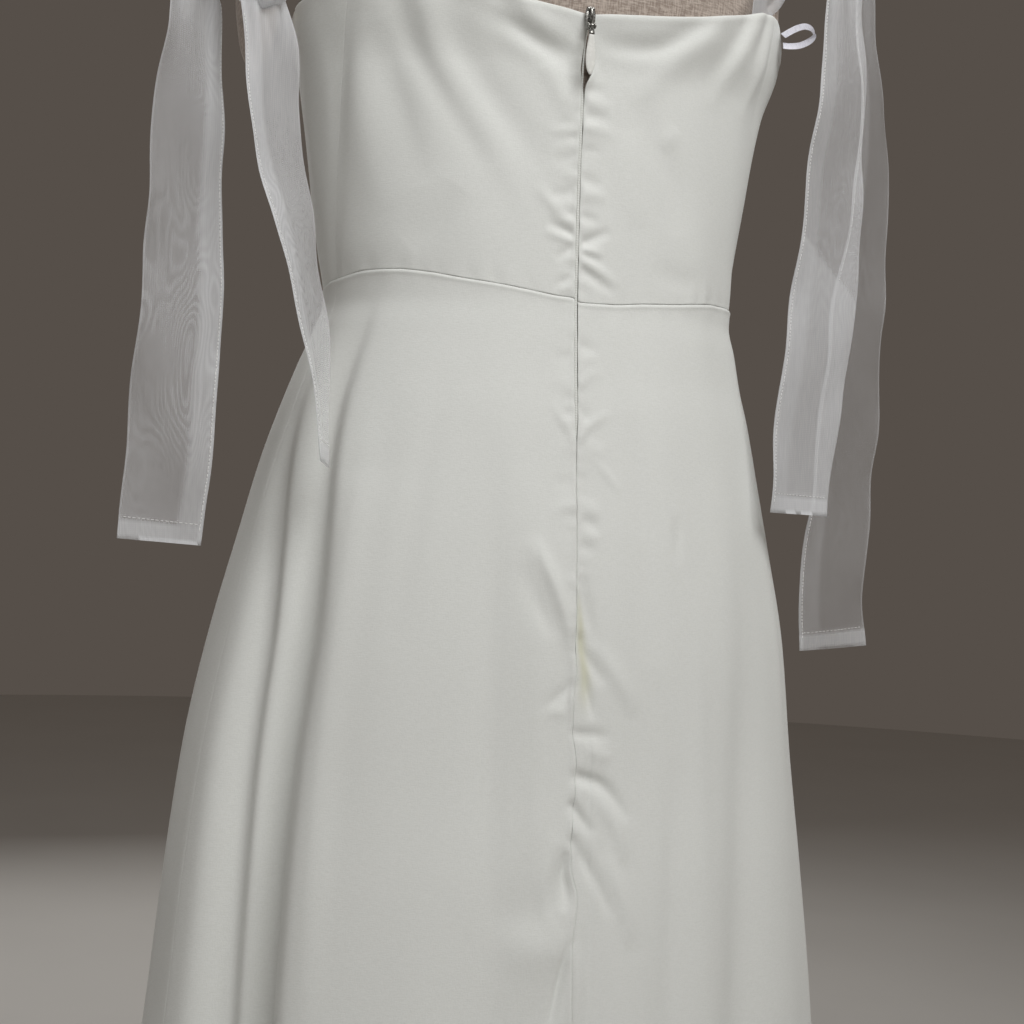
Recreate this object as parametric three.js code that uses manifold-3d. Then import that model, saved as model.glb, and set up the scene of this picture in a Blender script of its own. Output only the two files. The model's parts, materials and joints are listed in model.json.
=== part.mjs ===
// Wedding gown on a dress form.
// Millimetres, +Z up, +Y towards the gown's front, so the zipped back faces -Y.
// The origin is the centre of the stand's underside.
//
// Every cloth panel is a closed wall. Its outer face comes from one body surface,
// gownPoint(phi, dz, out): phi is the angle round the body in degrees, 0 at the
// centre back and positive towards -X, dz is the height above the waist seam, and
// out is the distance outward along the cloth's own normal.
import * as THREE from 'three';
import { mergeVertices } from 'three/addons/utils/BufferGeometryUtils.js';
import Module from 'manifold-3d';

const wasm = await Module();
wasm.setup();

// ---------------------------------------------------------------- sizes
const WAIST_Z = 1060;            // waist seam at the centre back, above the floor
const HEM_DZ = -1045;            // hem, 15 mm above the floor
const CLOTH_WALL = 2.0;          // crepe wall
const SEAM_GAP = 0.3;            // between neighbouring pieces
const ZIP_TOP = 157.5;           // closed zip, 14 inch
const ZIP_END = -194;
const ZIP_HALF_OPENING = 1.2;    // half width left between the back panels for the chain
const CHAIN_WIDTH = 1.8;
const TIE_WALL = 1.0;            // two layers of organza
const TIE_WIDTH = 46;
const BASE_RADIUS = 150;
const BASE_HEIGHT = 16;
const POLE_RADIUS = 16;
const TORSO_BOTTOM_DZ = -205;
const TORSO_TOP_DZ = 338;

// Half widths and depths of the gown round the body, by height above the waist.
const GOWN_SECTIONS = [
  { dz: -1045, left: 276, right: 262, back: 214, front: 262 },
  { dz: -800, left: 250, right: 235, back: 180, front: 222 },
  { dz: -600, left: 230, right: 214, back: 157, front: 190 },
  { dz: -424, left: 212, right: 200, back: 139, front: 162 },
  { dz: -324, left: 203, right: 188, back: 128, front: 147 },
  { dz: -260, left: 195, right: 179.5, back: 119, front: 136 },
  { dz: -189, left: 181, right: 171, back: 113, front: 124 },
  { dz: -136, left: 168, right: 160, back: 107, front: 115 },
  { dz: -94, left: 157, right: 150.5, back: 101, front: 108 },
  { dz: -58, left: 145, right: 142, back: 96, front: 101 },
  { dz: -39, left: 138, right: 136.5, back: 93, front: 98 },
  { dz: -16, left: 129, right: 131.5, back: 90, front: 94 },
  { dz: 0, left: 124, right: 127.5, back: 88, front: 92 },
  { dz: 32, left: 129, right: 129, back: 86, front: 96 },
  { dz: 80, left: 136, right: 136.5, back: 84, front: 107 },
  { dz: 129, left: 143, right: 144, back: 84, front: 121 },
  { dz: 160, left: 148, right: 154, back: 89, front: 127 },
  { dz: 190, left: 150, right: 158, back: 92, front: 125 },
  { dz: 230, left: 150, right: 158, back: 93, front: 118 },
];

// The skirt's folds: a = angle of the fold's middle, d = its depth (- in, + out),
// each at four heights, and low and high = half widths in degrees towards smaller and larger angles.
const FOLD_HEIGHTS = [-60, -200, -430, -1045];
const SKIRT_FOLDS = [
  { name: 'side_back_valley', a: [58.9, 51.9, 51.2, 46.5], d: [-4, -15, -24, -36], low: 3.3, high: 6.6 },
  { name: 'side_valley', a: [75, 63.2, 60.3, 55], d: [-1, -10, -16, -24], low: 3.1, high: 5 },
  { name: 'left_back_hollow', a: [22, 15, 12.5, 11], d: [0, -1, -4, -15], low: 7.5, high: 7.5 },
  { name: 'right_back_hollow', a: [-50, -42.5, -33, -27], d: [0, -2.5, -7, -18], low: 6.5, high: 6.5 },
  { name: 'right_back_faint', a: [-18, -18, -17, -14], d: [0, 0, -2.5, -12], low: 4.5, high: 4.5 },
  { name: 'right_side_valley', a: [-90, -93, -94, -90], d: [0, -5, -12, -25], low: 6.5, high: 6.5 },
  { name: 'left_front_valley', a: [112, 108, 104, 102], d: [0, -5, -13, -24], low: 7, high: 7 },
  { name: 'left_front_hollow', a: [142, 141, 138, 136], d: [0, -4, -11, -22], low: 7.5, high: 7.5 },
  { name: 'front_valley', a: [174, 172, 170, 168], d: [0, -3, -10, -22], low: 8, high: 8 },
  { name: 'right_front_hollow', a: [-152, -151, -149, -148], d: [0, -4, -12, -24], low: 7.5, high: 7.5 },
  { name: 'right_front_valley', a: [-120, -119, -119, -120], d: [0, -5, -12, -23], low: 7, high: 7 },
];

// Heights of the waist seam, the back and front top edges and the side seams.
const WAIST_SEAM = [
  { at: -180, dz: 4 }, { at: -140, dz: 5 }, { at: -100, dz: 8 }, { at: -76, dz: 10.5 }, { at: -50, dz: 9.5 },
  { at: -40, dz: 7.5 }, { at: -30, dz: 5 }, { at: -20, dz: 3 }, { at: -10, dz: 0.6 }, { at: -1, dz: 0 },
  { at: 1, dz: 2.4 }, { at: 5, dz: 3 }, { at: 10, dz: 4.5 }, { at: 20, dz: 7.5 }, { at: 30, dz: 10 },
  { at: 40, dz: 13 }, { at: 50, dz: 14.5 }, { at: 60, dz: 14.2 }, { at: 76, dz: 11 }, { at: 100, dz: 8 },
  { at: 140, dz: 5 }, { at: 180, dz: 4 },
];
const TOP_EDGE = [
  { at: 0, dz: 160 }, { at: 5, dz: 162 }, { at: 10, dz: 163.5 }, { at: 16, dz: 165.5 }, { at: 28, dz: 171 },
  { at: 41, dz: 179 }, { at: 50, dz: 185 }, { at: 57, dz: 187.5 }, { at: 61, dz: 187 }, { at: 65, dz: 182 },
  { at: 70, dz: 175 }, { at: 80, dz: 169 }, { at: 100, dz: 168 }, { at: 115, dz: 176 }, { at: 128, dz: 194 },
  { at: 136, dz: 209 }, { at: 141, dz: 212 }, { at: 148, dz: 209 }, { at: 160, dz: 198 }, { at: 172, dz: 190 },
  { at: 180, dz: 188 },
];
const SIDE_SEAM = [
  { at: -1045, phi: 74 }, { at: -300, phi: 75 }, { at: -60, phi: 78 }, { at: 0, phi: 78.5 }, { at: 16, phi: 77 },
  { at: 65, phi: 70.5 }, { at: 109, phi: 65.5 }, { at: 136, phi: 62.5 }, { at: 162, phi: 60 }, { at: 195, phi: 58 },
];

// The form's own body under the gown, clear of the cloth.
const TORSO_SECTIONS = [
  { dz: -205, half: 128, back: 82, front: 88 },
  { dz: -198, half: 138, back: 88, front: 94 },
  { dz: -160, half: 145, back: 96, front: 103 },
  { dz: -120, half: 142, back: 94, front: 101 },
  { dz: -80, half: 134, back: 89, front: 96 },
  { dz: -40, half: 124, back: 83, front: 89 },
  { dz: 0, half: 117, back: 80, front: 84 },
  { dz: 32, half: 119, back: 78, front: 88 },
  { dz: 80, half: 125, back: 76, front: 99 },
  { dz: 129, half: 134, back: 75.5, front: 112 },
  { dz: 160, half: 139, back: 80, front: 118 },
  { dz: 190, half: 141, back: 83, front: 114 },
  { dz: 220, half: 138, back: 80, front: 104 },
  { dz: 244, half: 122, back: 72, front: 90 },
  { dz: 262, half: 98, back: 62, front: 76 },
  { dz: 276, half: 74, back: 54, front: 64 },
  { dz: 290, half: 60, back: 49, front: 56 },
  { dz: 310, half: 55, back: 47, front: 52 },
  { dz: 338, half: 54, back: 47, front: 50 },
];
const SHOULDER = { x: 0, y: 20, dz: 230, rx: 181, ry: 52, rz: 42 };
const ARM_CAP_LEFT = { x: -165.5, y: 32, dz: 192, rx: 13.2, ry: 38, rz: 57 };
const ARM_CAP_RIGHT = { x: 163, y: 35, dz: 194, rx: 11, ry: 33, rz: 54 };

// Tie tails: middle of each section, the width that shows to the back and the turn.
const TAIL_LEFT_OUTER = [
  { dz: 172, x: -188, y: -69, seen: 3 }, { dz: 170, x: -199, y: -66, seen: 6 }, { dz: 161, x: -208, y: -63, seen: 14 },
  { dz: 148, x: -211, y: -62, seen: 26 }, { dz: 128, x: -212, y: -62, seen: 30 }, { dz: 100, x: -213, y: -62, seen: 35 },
  { dz: 60, x: -213, y: -62, seen: 38 }, { dz: 20, x: -213, y: -62, seen: 40 }, { dz: -20, x: -212, y: -62, seen: 43 },
  { dz: -60, x: -215, y: -62, seen: 45 }, { dz: -100, x: -216, y: -62, seen: 45 }, { dz: -142, x: -219, y: -62, seen: 43 },
];
const TAIL_LEFT_INNER = [
  { dz: 160, x: -180, y: -71, seen: 22 }, { dz: 120, x: -172, y: -71, seen: 27 }, { dz: 90, x: -169, y: -72, seen: 27 },
  { dz: 60, x: -164, y: -73, seen: 24 }, { dz: 30, x: -157, y: -76, seen: 22 }, { dz: 0, x: -150, y: -80, seen: 17 },
  { dz: -30, x: -144, y: -85, seen: 14 }, { dz: -62, x: -141, y: -89, seen: 9 }, { dz: -97, x: -138, y: -92, seen: 3 },
];
const TAIL_RIGHT_FRONT = [
  { dz: 238, x: 178, y: -60, seen: 16 }, { dz: 215, x: 171, y: -66, seen: 20 }, { dz: 180, x: 171, y: -66, seen: 24 },
  { dz: 150, x: 172, y: -66, seen: 27 }, { dz: 110, x: 170, y: -66, seen: 30 }, { dz: 70, x: 169, y: -66, seen: 35 },
  { dz: 30, x: 166, y: -66, seen: 37 }, { dz: -10, x: 163, y: -66, seen: 39 }, { dz: -60, x: 157, y: -66, seen: 36 },
  { dz: -112, x: 155, y: -66, seen: 34 },
];
const TAIL_RIGHT_BACK = [
  { dz: 238, x: 189.5, y: -48, seen: 13 }, { dz: 215, x: 200, y: -38, seen: 12 }, { dz: 185, x: 204, y: -34, seen: 13 },
  { dz: 150, x: 210, y: -34, seen: 15 }, { dz: 110, x: 212.6, y: -34, seen: 19 }, { dz: 60, x: 210.5, y: -34, seen: 26 },
  { dz: 10, x: 206, y: -34, seen: 32 }, { dz: -50, x: 203, y: -34, seen: 36 }, { dz: -110, x: 200, y: -34, seen: 37 },
  { dz: -150, x: 196, y: -34, seen: 39 }, { dz: -194, x: 199, y: -34, seen: 40 },
];
const KNOT_LEFT = { x: -180, y: -70, dz: 166, rx: 19, ry: 13, rz: 23 };
const KNOT_RIGHT = { x: 184, y: -56, dz: 242, rx: 17, ry: 13, rz: 19 };

// Straps above the top edge: middle points and widths, from the bodice to the knot.
const STRAP_BACK_RIGHT = [
  { x: 131, y: -51, dz: 204, w: 30 }, { x: 137, y: -54, dz: 221, w: 25 }, { x: 152, y: -56, dz: 235, w: 21 },
  { x: 170, y: -57, dz: 241, w: 18 }, { x: 184, y: -56, dz: 242, w: 16 },
];
const STRAP_BACK_LEFT = [
  { x: -128, y: -52, dz: 202, w: 30 }, { x: -137, y: -57, dz: 212, w: 25 }, { x: -152, y: -63, dz: 209, w: 21 },
  { x: -168, y: -68, dz: 192, w: 18 }, { x: -178, y: -70, dz: 172, w: 16 },
];
// The front straps also give the direction of their width: cx towards the body's
// middle, cy towards the front and cz up.
const STRAP_FRONT_RIGHT = [
  { x: 108, y: 87, dz: 232, w: 32, cx: 0.88, cy: 0.4, cz: 0.1 }, { x: 124, y: 74, dz: 252, w: 29, cx: 0.92, cy: 0.3, cz: 0.2 },
  { x: 141, y: 50, dz: 266, w: 27, cx: 0.94, cy: 0.1, cz: 0.3 }, { x: 154, y: 20, dz: 269, w: 26, cx: 0.94, cy: 0, cz: 0.34 },
  { x: 168, y: -12, dz: 266, w: 23, cx: 0.94, cy: -0.1, cz: 0.34 }, { x: 179, y: -38, dz: 256, w: 19, cx: 0.9, cy: -0.3, cz: 0.3 },
  { x: 184, y: -56, dz: 242, w: 16, cx: 0.9, cy: -0.4, cz: 0.2 },
];
const STRAP_FRONT_LEFT = [
  { x: -108, y: 87, dz: 232, w: 32, cx: 0.88, cy: 0.4, cz: 0.1 }, { x: -124, y: 74, dz: 252, w: 29, cx: 0.92, cy: 0.3, cz: 0.2 },
  { x: -141, y: 50, dz: 266, w: 27, cx: 0.94, cy: 0.1, cz: 0.3 }, { x: -154, y: 20, dz: 269, w: 26, cx: 0.94, cy: 0, cz: 0.34 },
  { x: -169, y: -12, dz: 264, w: 24, cx: 0.94, cy: -0.1, cz: 0.34 }, { x: -181, y: -42, dz: 243, w: 21, cx: 0.94, cy: -0.2, cz: 0.2 },
  { x: -185, y: -60, dz: 208, w: 18, cx: 0.95, cy: -0.3, cz: 0 }, { x: -181, y: -70, dz: 170, w: 16, cx: 0.95, cy: -0.3, cz: 0 },
];
const STRAP_FOOT_BACK = { phi: 52, w: 25 };
const STRAP_FOOT_FRONT = { phi: 141, w: 36 };

// Satin hanger loop at the right side seam: reach outward and height.
const LOOP_PATH = [
  { out: 0.5, up: 2.6 }, { out: 4.5, up: 5.2 }, { out: 9, up: 7.6 }, { out: 13.5, up: 8.8 }, { out: 17, up: 7.6 },
  { out: 18.8, up: 4.2 }, { out: 16.6, up: 0.6 }, { out: 11, up: -2.4 }, { out: 5, up: -3.2 }, { out: 0.5, up: -3.0 },
];
const LOOP = { phi: -63.5, dz: 176, width: 6, wall: 0.8 };

// ---------------------------------------------------------------- tables
const rad = (deg) => deg * Math.PI / 180;

// Monotone cubic through a table's rows.
function tableValue(xs, ys, x) {
  const n = xs.length;
  if (x <= xs[0]) return ys[0];
  if (x >= xs[n - 1]) return ys[n - 1];
  const slope = (i) => (ys[i + 1] - ys[i]) / (xs[i + 1] - xs[i]);
  const tangent = (i) => {
    if (i === 0) return slope(0);
    if (i === n - 1) return slope(n - 2);
    const d0 = slope(i - 1), d1 = slope(i);
    if (d0 * d1 <= 0) return 0;
    const h0 = xs[i] - xs[i - 1], h1 = xs[i + 1] - xs[i];
    const w1 = 2 * h1 + h0, w2 = h1 + 2 * h0;
    return (w1 + w2) / (w1 / d0 + w2 / d1);
  };
  let k = 0;
  while (x > xs[k + 1]) k += 1;
  const h = xs[k + 1] - xs[k], t = (x - xs[k]) / h;
  return (1 + 2 * t) * (1 - t) ** 2 * ys[k] + t * (1 - t) ** 2 * h * tangent(k)
    + t * t * (3 - 2 * t) * ys[k + 1] + t * t * (t - 1) * h * tangent(k + 1);
}
const columnOf = (rows, key) => rows.map((row) => row[key]);
const lookUp = (rows, from, key, x) => tableValue(columnOf(rows, from), columnOf(rows, key), x);

const waistSeam = (phi) => lookUp(WAIST_SEAM, 'at', 'dz', phi);
const topEdge = (phi) => lookUp(TOP_EDGE, 'at', 'dz', Math.abs(phi));
const sideSeam = (dz) => lookUp(SIDE_SEAM, 'at', 'phi', dz);

// ---------------------------------------------------------------- gown surface
const wrap = (deg) => ((deg + 180) % 360 + 360) % 360 - 180;
const heightsUp = [...FOLD_HEIGHTS].reverse();
function foldAt(phi, dz) {
  let sum = 0;
  if (dz >= 0) return sum;
  const start = Math.min(1, -dz / 60);
  for (const fold of SKIRT_FOLDS) {
    const middle = tableValue(heightsUp, [...fold.a].reverse(), dz);
    const depth = tableValue(heightsUp, [...fold.d].reverse(), dz) * start;
    const turn = wrap(phi - middle);
    const off = turn / (turn < 0 ? fold.low : fold.high);
    sum += depth * Math.exp(-off * off);
  }
  return sum;
}
function bodyPoint(phi, dz) {
  const s = Math.sin(rad(phi)), c = Math.cos(rad(phi));
  const a = lookUp(GOWN_SECTIONS, 'dz', s >= 0 ? 'left' : 'right', dz);
  const b = lookUp(GOWN_SECTIONS, 'dz', c >= 0 ? 'back' : 'front', dz);
  const nx = -s / a, ny = -c / b, n = Math.hypot(nx, ny);
  const fold = foldAt(phi, dz);
  return new THREE.Vector3(-a * s + fold * nx / n, -b * c + fold * ny / n, WAIST_Z + dz);
}
function gownPoint(phi, dz, out = 0) {
  const p = bodyPoint(phi, dz);
  if (out === 0) return p;
  const round = bodyPoint(phi + 0.6, dz).sub(bodyPoint(phi - 0.6, dz));
  const normal = new THREE.Vector3(-round.y, round.x, 0).normalize();
  if (normal.x * p.x + normal.y * p.y < 0) normal.negate();
  return p.addScaledVector(normal, out);
}

// ---------------------------------------------------------------- mesh helpers
const ivory = (roughness = 0.75) => new THREE.MeshStandardMaterial({ color: 0xe9e8e2, roughness, metalness: 0 });
const organza = () => new THREE.MeshStandardMaterial({ color: 0xe4e6e6, roughness: 0.55, metalness: 0 });
const linen = () => new THREE.MeshStandardMaterial({ color: 0xc3b5a8, roughness: 0.9, metalness: 0 });
const blackWood = () => new THREE.MeshStandardMaterial({ color: 0x23201e, roughness: 0.5, metalness: 0 });
const satin = () => new THREE.MeshStandardMaterial({ color: 0xe2e2ec, roughness: 0.35, metalness: 0 });
const enamel = () => new THREE.MeshStandardMaterial({ color: 0xe6e6df, roughness: 0.35, metalness: 0.1 });

function makeGeometry(points, faces) {
  const position = new Float32Array(points.length * 3);
  points.forEach((p, i) => { position[3 * i] = p.x; position[3 * i + 1] = p.y; position[3 * i + 2] = p.z; });
  let volume = 0;
  for (const [i, j, k] of faces) volume += points[i].dot(new THREE.Vector3().crossVectors(points[j], points[k]));
  const index = volume >= 0 ? faces.flat() : faces.flatMap(([i, j, k]) => [i, k, j]);
  const geometry = new THREE.BufferGeometry();
  geometry.setAttribute('position', new THREE.BufferAttribute(position, 3));
  geometry.setIndex(index);
  return geometry;
}

// A closed wall from two matching grids of points.
function wallGeometry(outer, inner) {
  const rows = outer.length, cols = outer[0].length, points = [...outer.flat(), ...inner.flat()];
  const o = (r, c) => r * cols + c, i = (r, c) => rows * cols + r * cols + c;
  const faces = [];
  const quad = (a, b, c, d) => { faces.push([a, b, c], [a, c, d]); };
  for (let r = 0; r < rows - 1; r += 1) {
    for (let c = 0; c < cols - 1; c += 1) {
      quad(o(r, c), o(r, c + 1), o(r + 1, c + 1), o(r + 1, c));
      quad(i(r, c), i(r + 1, c), i(r + 1, c + 1), i(r, c + 1));
    }
    quad(o(r, 0), o(r + 1, 0), i(r + 1, 0), i(r, 0));
    quad(o(r, cols - 1), i(r, cols - 1), i(r + 1, cols - 1), o(r + 1, cols - 1));
  }
  for (let c = 0; c < cols - 1; c += 1) {
    quad(o(0, c), i(0, c), i(0, c + 1), o(0, c + 1));
    quad(o(rows - 1, c), o(rows - 1, c + 1), i(rows - 1, c + 1), i(rows - 1, c));
  }
  return makeGeometry(points, faces);
}

// A closed body from rings of points, capped flat at both ends.
function ringGeometry(rings) {
  const n = rings[0].length, points = rings.flat(), faces = [];
  for (let r = 0; r < rings.length - 1; r += 1) {
    for (let k = 0; k < n; k += 1) {
      const a = r * n + k, b = r * n + (k + 1) % n, c = a + n, d = b + n;
      faces.push([a, b, d], [a, d, c]);
    }
  }
  const middle = (ring) => ring.reduce((sum, p) => sum.add(p), new THREE.Vector3()).divideScalar(n);
  const first = points.length;
  points.push(middle(rings[0]), middle(rings[rings.length - 1]));
  const last = (rings.length - 1) * n;
  for (let k = 0; k < n; k += 1) {
    faces.push([first, (k + 1) % n, k], [first + 1, last + k, last + (k + 1) % n]);
  }
  return makeGeometry(points, faces);
}

function toSolid(geometry) {
  const bare = geometry.clone();
  bare.deleteAttribute('normal');
  bare.deleteAttribute('uv');
  const merged = mergeVertices(bare, 1e-4);
  return new wasm.Manifold(new wasm.Mesh({
    numProp: 3,
    vertProperties: new Float32Array(merged.attributes.position.array),
    triVerts: new Uint32Array(merged.index.array),
  }));
}
function fromSolid(solid) {
  const mesh = solid.getMesh();
  const geometry = new THREE.BufferGeometry();
  geometry.setAttribute('position', new THREE.BufferAttribute(new Float32Array(mesh.vertProperties), 3));
  geometry.setIndex(new THREE.BufferAttribute(new Uint32Array(mesh.triVerts), 1));
  return geometry;
}

const gown = new THREE.Group();
function addPiece(name, geometry, material) {
  const mesh = new THREE.Mesh(geometry, material);
  mesh.name = name;
  gown.add(mesh);
  return mesh;
}

// ---------------------------------------------------------------- panels
// A panel between two edges: columns is a function of height giving the angles
// across it, bottom and top give the heights of its two long edges at an angle.
function panel(columnsAt, heightsAt, rowCount) {
  const outer = [], inner = [];
  const cols = columnsAt(0, 0).length;
  for (let r = 0; r <= rowCount; r += 1) {
    const outerRow = [], innerRow = [];
    for (let c = 0; c < cols; c += 1) {
      let phi = columnsAt(0, r / rowCount)[c], dz = 0;
      for (let pass = 0; pass < 4; pass += 1) {
        dz = heightsAt(phi, r / rowCount);
        phi = columnsAt(dz, r / rowCount)[c];
      }
      outerRow.push(gownPoint(phi, dz, 0));
      innerRow.push(gownPoint(phi, dz, -CLOTH_WALL));
    }
    outer.push(outerRow);
    inner.push(innerRow);
  }
  return wallGeometry(outer, inner);
}
// Angle that a distance along the cloth takes up at a height.
function angleFor(distance, phi, dz) {
  const step = bodyPoint(phi + 0.5, dz).distanceTo(bodyPoint(phi - 0.5, dz));
  return distance / step;
}
const centreEdge = (dz) => {
  const open = dz > ZIP_END - 3 ? ZIP_HALF_OPENING
    : Math.max(SEAM_GAP / 2, ZIP_HALF_OPENING - (ZIP_END - 3 - dz) * 0.05);
  return angleFor(open, 0, dz);
};
const spread = (from, to, count) => Array.from({ length: count + 1 }, (_, k) => from + (to - from) * k / count);

// Skirt heights: closer rows where the folds start.
const SKIRT_ROWS = [0, 0.045, 0.095, 0.14, 0.187, 0.205, 0.29, 0.375, 0.475, 0.59, 0.72, 0.86, 1];
const skirtHeight = (phi, t) => {
  const k = Math.round(t * (SKIRT_ROWS.length - 1));
  const top = waistSeam(phi) - SEAM_GAP / 2;
  return top + (HEM_DZ - top) * SKIRT_ROWS[k];
};
const bodiceHeight = (phi, t) => {
  const low = waistSeam(phi) + SEAM_GAP / 2;
  return low + (topEdge(phi) - low) * t;
};

const foldMiddle = (fold, dz) => tableValue(heightsUp, [...fold.a].reverse(), dz);
const [valleyOne, valleyTwo] = SKIRT_FOLDS;
function skirtBackColumns(side) {
  return (dz) => {
    const edge = centreEdge(dz), seam = sideSeam(dz) - angleFor(SEAM_GAP / 2, 75, dz);
    if (side > 0) {
      const one = foldMiddle(valleyOne, dz), two = Math.max(foldMiddle(valleyTwo, dz), one + 6.4);
      const far = Math.min(two + 6, seam - 2);
      return [...spread(edge, one - 9, 6), one - 5.5, one - 2.8, one, (one + two) / 2, two,
        (two + far) / 2, ...spread(far, seam, 3)];
    }
    const hollow = -foldMiddle(SKIRT_FOLDS[3], dz);
    return [...spread(edge, hollow - 7, 5), hollow - 3.5, hollow, hollow + 4, hollow + 8,
      ...spread(hollow + 8, seam, 4).slice(1)].map((phi) => -phi);
  };
}
function bodiceBackColumns(side) {
  return (dz) => {
    const edge = angleFor(ZIP_HALF_OPENING, 0, dz), seam = sideSeam(dz) - angleFor(SEAM_GAP / 2, 70, dz);
    return [0, 0.08, 0.18, 0.3, 0.42, 0.54, 0.66, 0.78, 0.86, 0.92, 0.96, 1].map((t) => side * (edge + (seam - edge) * t));
  };
}
function frontColumns(count) {
  return (dz) => {
    const seam = sideSeam(dz) + angleFor(SEAM_GAP / 2, 75, dz);
    return spread(seam, 360 - seam, count);
  };
}
const foldedFront = (at) => (phi) => at(wrap(phi));

addPiece('bodice_back_left', panel(bodiceBackColumns(1), bodiceHeight, 7), ivory());
addPiece('bodice_back_right', panel(bodiceBackColumns(-1), bodiceHeight, 7), ivory());
addPiece('bodice_front', panel(frontColumns(34), (phi, t) => bodiceHeight(wrap(phi), t), 7), ivory());
addPiece('skirt_back_left', panel(skirtBackColumns(1), skirtHeight, SKIRT_ROWS.length - 1), ivory());
addPiece('skirt_back_right', panel(skirtBackColumns(-1), skirtHeight, SKIRT_ROWS.length - 1), ivory());
addPiece('skirt_front', panel(frontColumns(40), (phi, t) => skirtHeight(wrap(phi), t), SKIRT_ROWS.length - 1), ivory());

// ---------------------------------------------------------------- zip
const ZIP_ROWS = 18;
const chainHeights = spread(ZIP_END, ZIP_TOP, ZIP_ROWS);
const chainSide = (x, dz, out) => {
  const p = gownPoint(0, dz, out);
  return new THREE.Vector3(x, p.y, p.z);
};
addPiece('zip_chain', wallGeometry(
  chainHeights.map((dz) => [chainSide(-CHAIN_WIDTH / 2, dz, -0.3), chainSide(CHAIN_WIDTH / 2, dz, -0.3)]),
  chainHeights.map((dz) => [chainSide(-CHAIN_WIDTH / 2, dz, -1.9), chainSide(CHAIN_WIDTH / 2, dz, -1.9)]),
), ivory(0.6));

// Slider body with two lugs and the pin that carries the pull tab.
const SLIDER = { width: 6.4, top: 163.5, bottom: 150.5, depth: 2.4, clear: 0.45 };
const PIN = { dz: 152, radius: 0.6, reach: 1.9 };
const LUG = { half: 2.3, thick: 0.9, height: 4.2 };
const sliderBackY = Math.min(bodyPoint(0, SLIDER.top).y, bodyPoint(0, SLIDER.bottom).y) - SLIDER.clear;
const sliderFaceY = sliderBackY - SLIDER.depth;
const pinY = sliderFaceY - PIN.reach;
function sliderBody() {
  const half = SLIDER.width / 2, height = SLIDER.top - SLIDER.bottom, nose = 1.2;
  const outline = new THREE.Shape();
  outline.moveTo(-half + nose, 0);
  outline.lineTo(half - nose, 0);
  outline.lineTo(half, height * 0.35);
  outline.lineTo(half, height * 0.8);
  outline.lineTo(half - nose, height);
  outline.lineTo(-half + nose, height);
  outline.lineTo(-half, height * 0.8);
  outline.lineTo(-half, height * 0.35);
  outline.closePath();
  const body = new THREE.ExtrudeGeometry(outline, { depth: SLIDER.depth, bevelEnabled: false });
  body.rotateX(Math.PI / 2);
  body.translate(0, sliderBackY, WAIST_Z + SLIDER.bottom);
  return toSolid(body);
}
function boxSolid(w, d, h, x, y, z) {
  const box = new THREE.BoxGeometry(w, d, h);
  box.translate(x, y, z);
  return toSolid(box);
}
function pinSolid(radius, length) {
  const pin = new THREE.CylinderGeometry(radius, radius, length, 12);
  pin.rotateZ(Math.PI / 2);
  pin.translate(0, pinY, WAIST_Z + PIN.dz);
  return toSolid(pin);
}
const lugDepth = PIN.reach + 1.0 + 0.4;
let slider = sliderBody();
for (const side of [-1, 1]) {
  slider = slider.add(boxSolid(LUG.thick, lugDepth, LUG.height, side * (LUG.half - LUG.thick / 2),
    sliderFaceY + 0.4 - lugDepth / 2, WAIST_Z + PIN.dz));
}
slider = slider.add(pinSolid(PIN.radius, 2 * LUG.half - LUG.thick));
addPiece('zip_slider', fromSolid(slider), new THREE.MeshStandardMaterial({ color: 0xb9b9b4, roughness: 0.35, metalness: 0.8 }));

// Pull tab: an eye round the pin, and a teardrop plate that hangs from it.
const PULL = { eyeOuter: 1.45, eyeBore: 0.95, eyeWidth: 2.1, length: 27, neck: 1.6, belly: 2.95, plate: 1.3 };
function pullTab() {
  const plate = new THREE.Shape();
  plate.moveTo(-PULL.neck / 2, -PULL.eyeOuter + 0.5);
  plate.lineTo(PULL.neck / 2, -PULL.eyeOuter + 0.5);
  plate.bezierCurveTo(PULL.neck / 2, -9, PULL.belly, -PULL.length * 0.44, PULL.belly, -PULL.length * 0.66);
  plate.bezierCurveTo(PULL.belly, -PULL.length * 0.88, 1.2, -PULL.length, 0, -PULL.length);
  plate.bezierCurveTo(-1.2, -PULL.length, -PULL.belly, -PULL.length * 0.88, -PULL.belly, -PULL.length * 0.66);
  plate.bezierCurveTo(-PULL.belly, -PULL.length * 0.44, -PULL.neck / 2, -9, -PULL.neck / 2, -PULL.eyeOuter + 0.5);
  const body = new THREE.ExtrudeGeometry(plate, { depth: PULL.plate, bevelEnabled: false, curveSegments: 5 });
  body.rotateX(Math.PI / 2);
  body.translate(0, pinY + PULL.plate / 2, WAIST_Z + PIN.dz);
  const eye = new THREE.CylinderGeometry(PULL.eyeOuter, PULL.eyeOuter, PULL.eyeWidth, 16);
  eye.rotateZ(Math.PI / 2);
  eye.translate(0, pinY, WAIST_Z + PIN.dz);
  const bore = new THREE.CylinderGeometry(PULL.eyeBore, PULL.eyeBore, PULL.eyeWidth + 2, 16);
  bore.rotateZ(Math.PI / 2);
  bore.translate(0, pinY, WAIST_Z + PIN.dz);
  return toSolid(body).add(toSolid(eye)).subtract(toSolid(bore));
}
addPiece('zip_pull', fromSolid(pullTab()), enamel());

// ---------------------------------------------------------------- ties
function ellipsoid(spec, grow, wide, high) {
  const ball = new THREE.SphereGeometry(1, wide, high);
  ball.rotateX(Math.PI / 2);
  ball.scale(spec.rx + grow, spec.ry + grow, spec.rz + grow);
  ball.translate(spec.x, spec.y, WAIST_Z + spec.dz);
  return ball;
}
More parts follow.
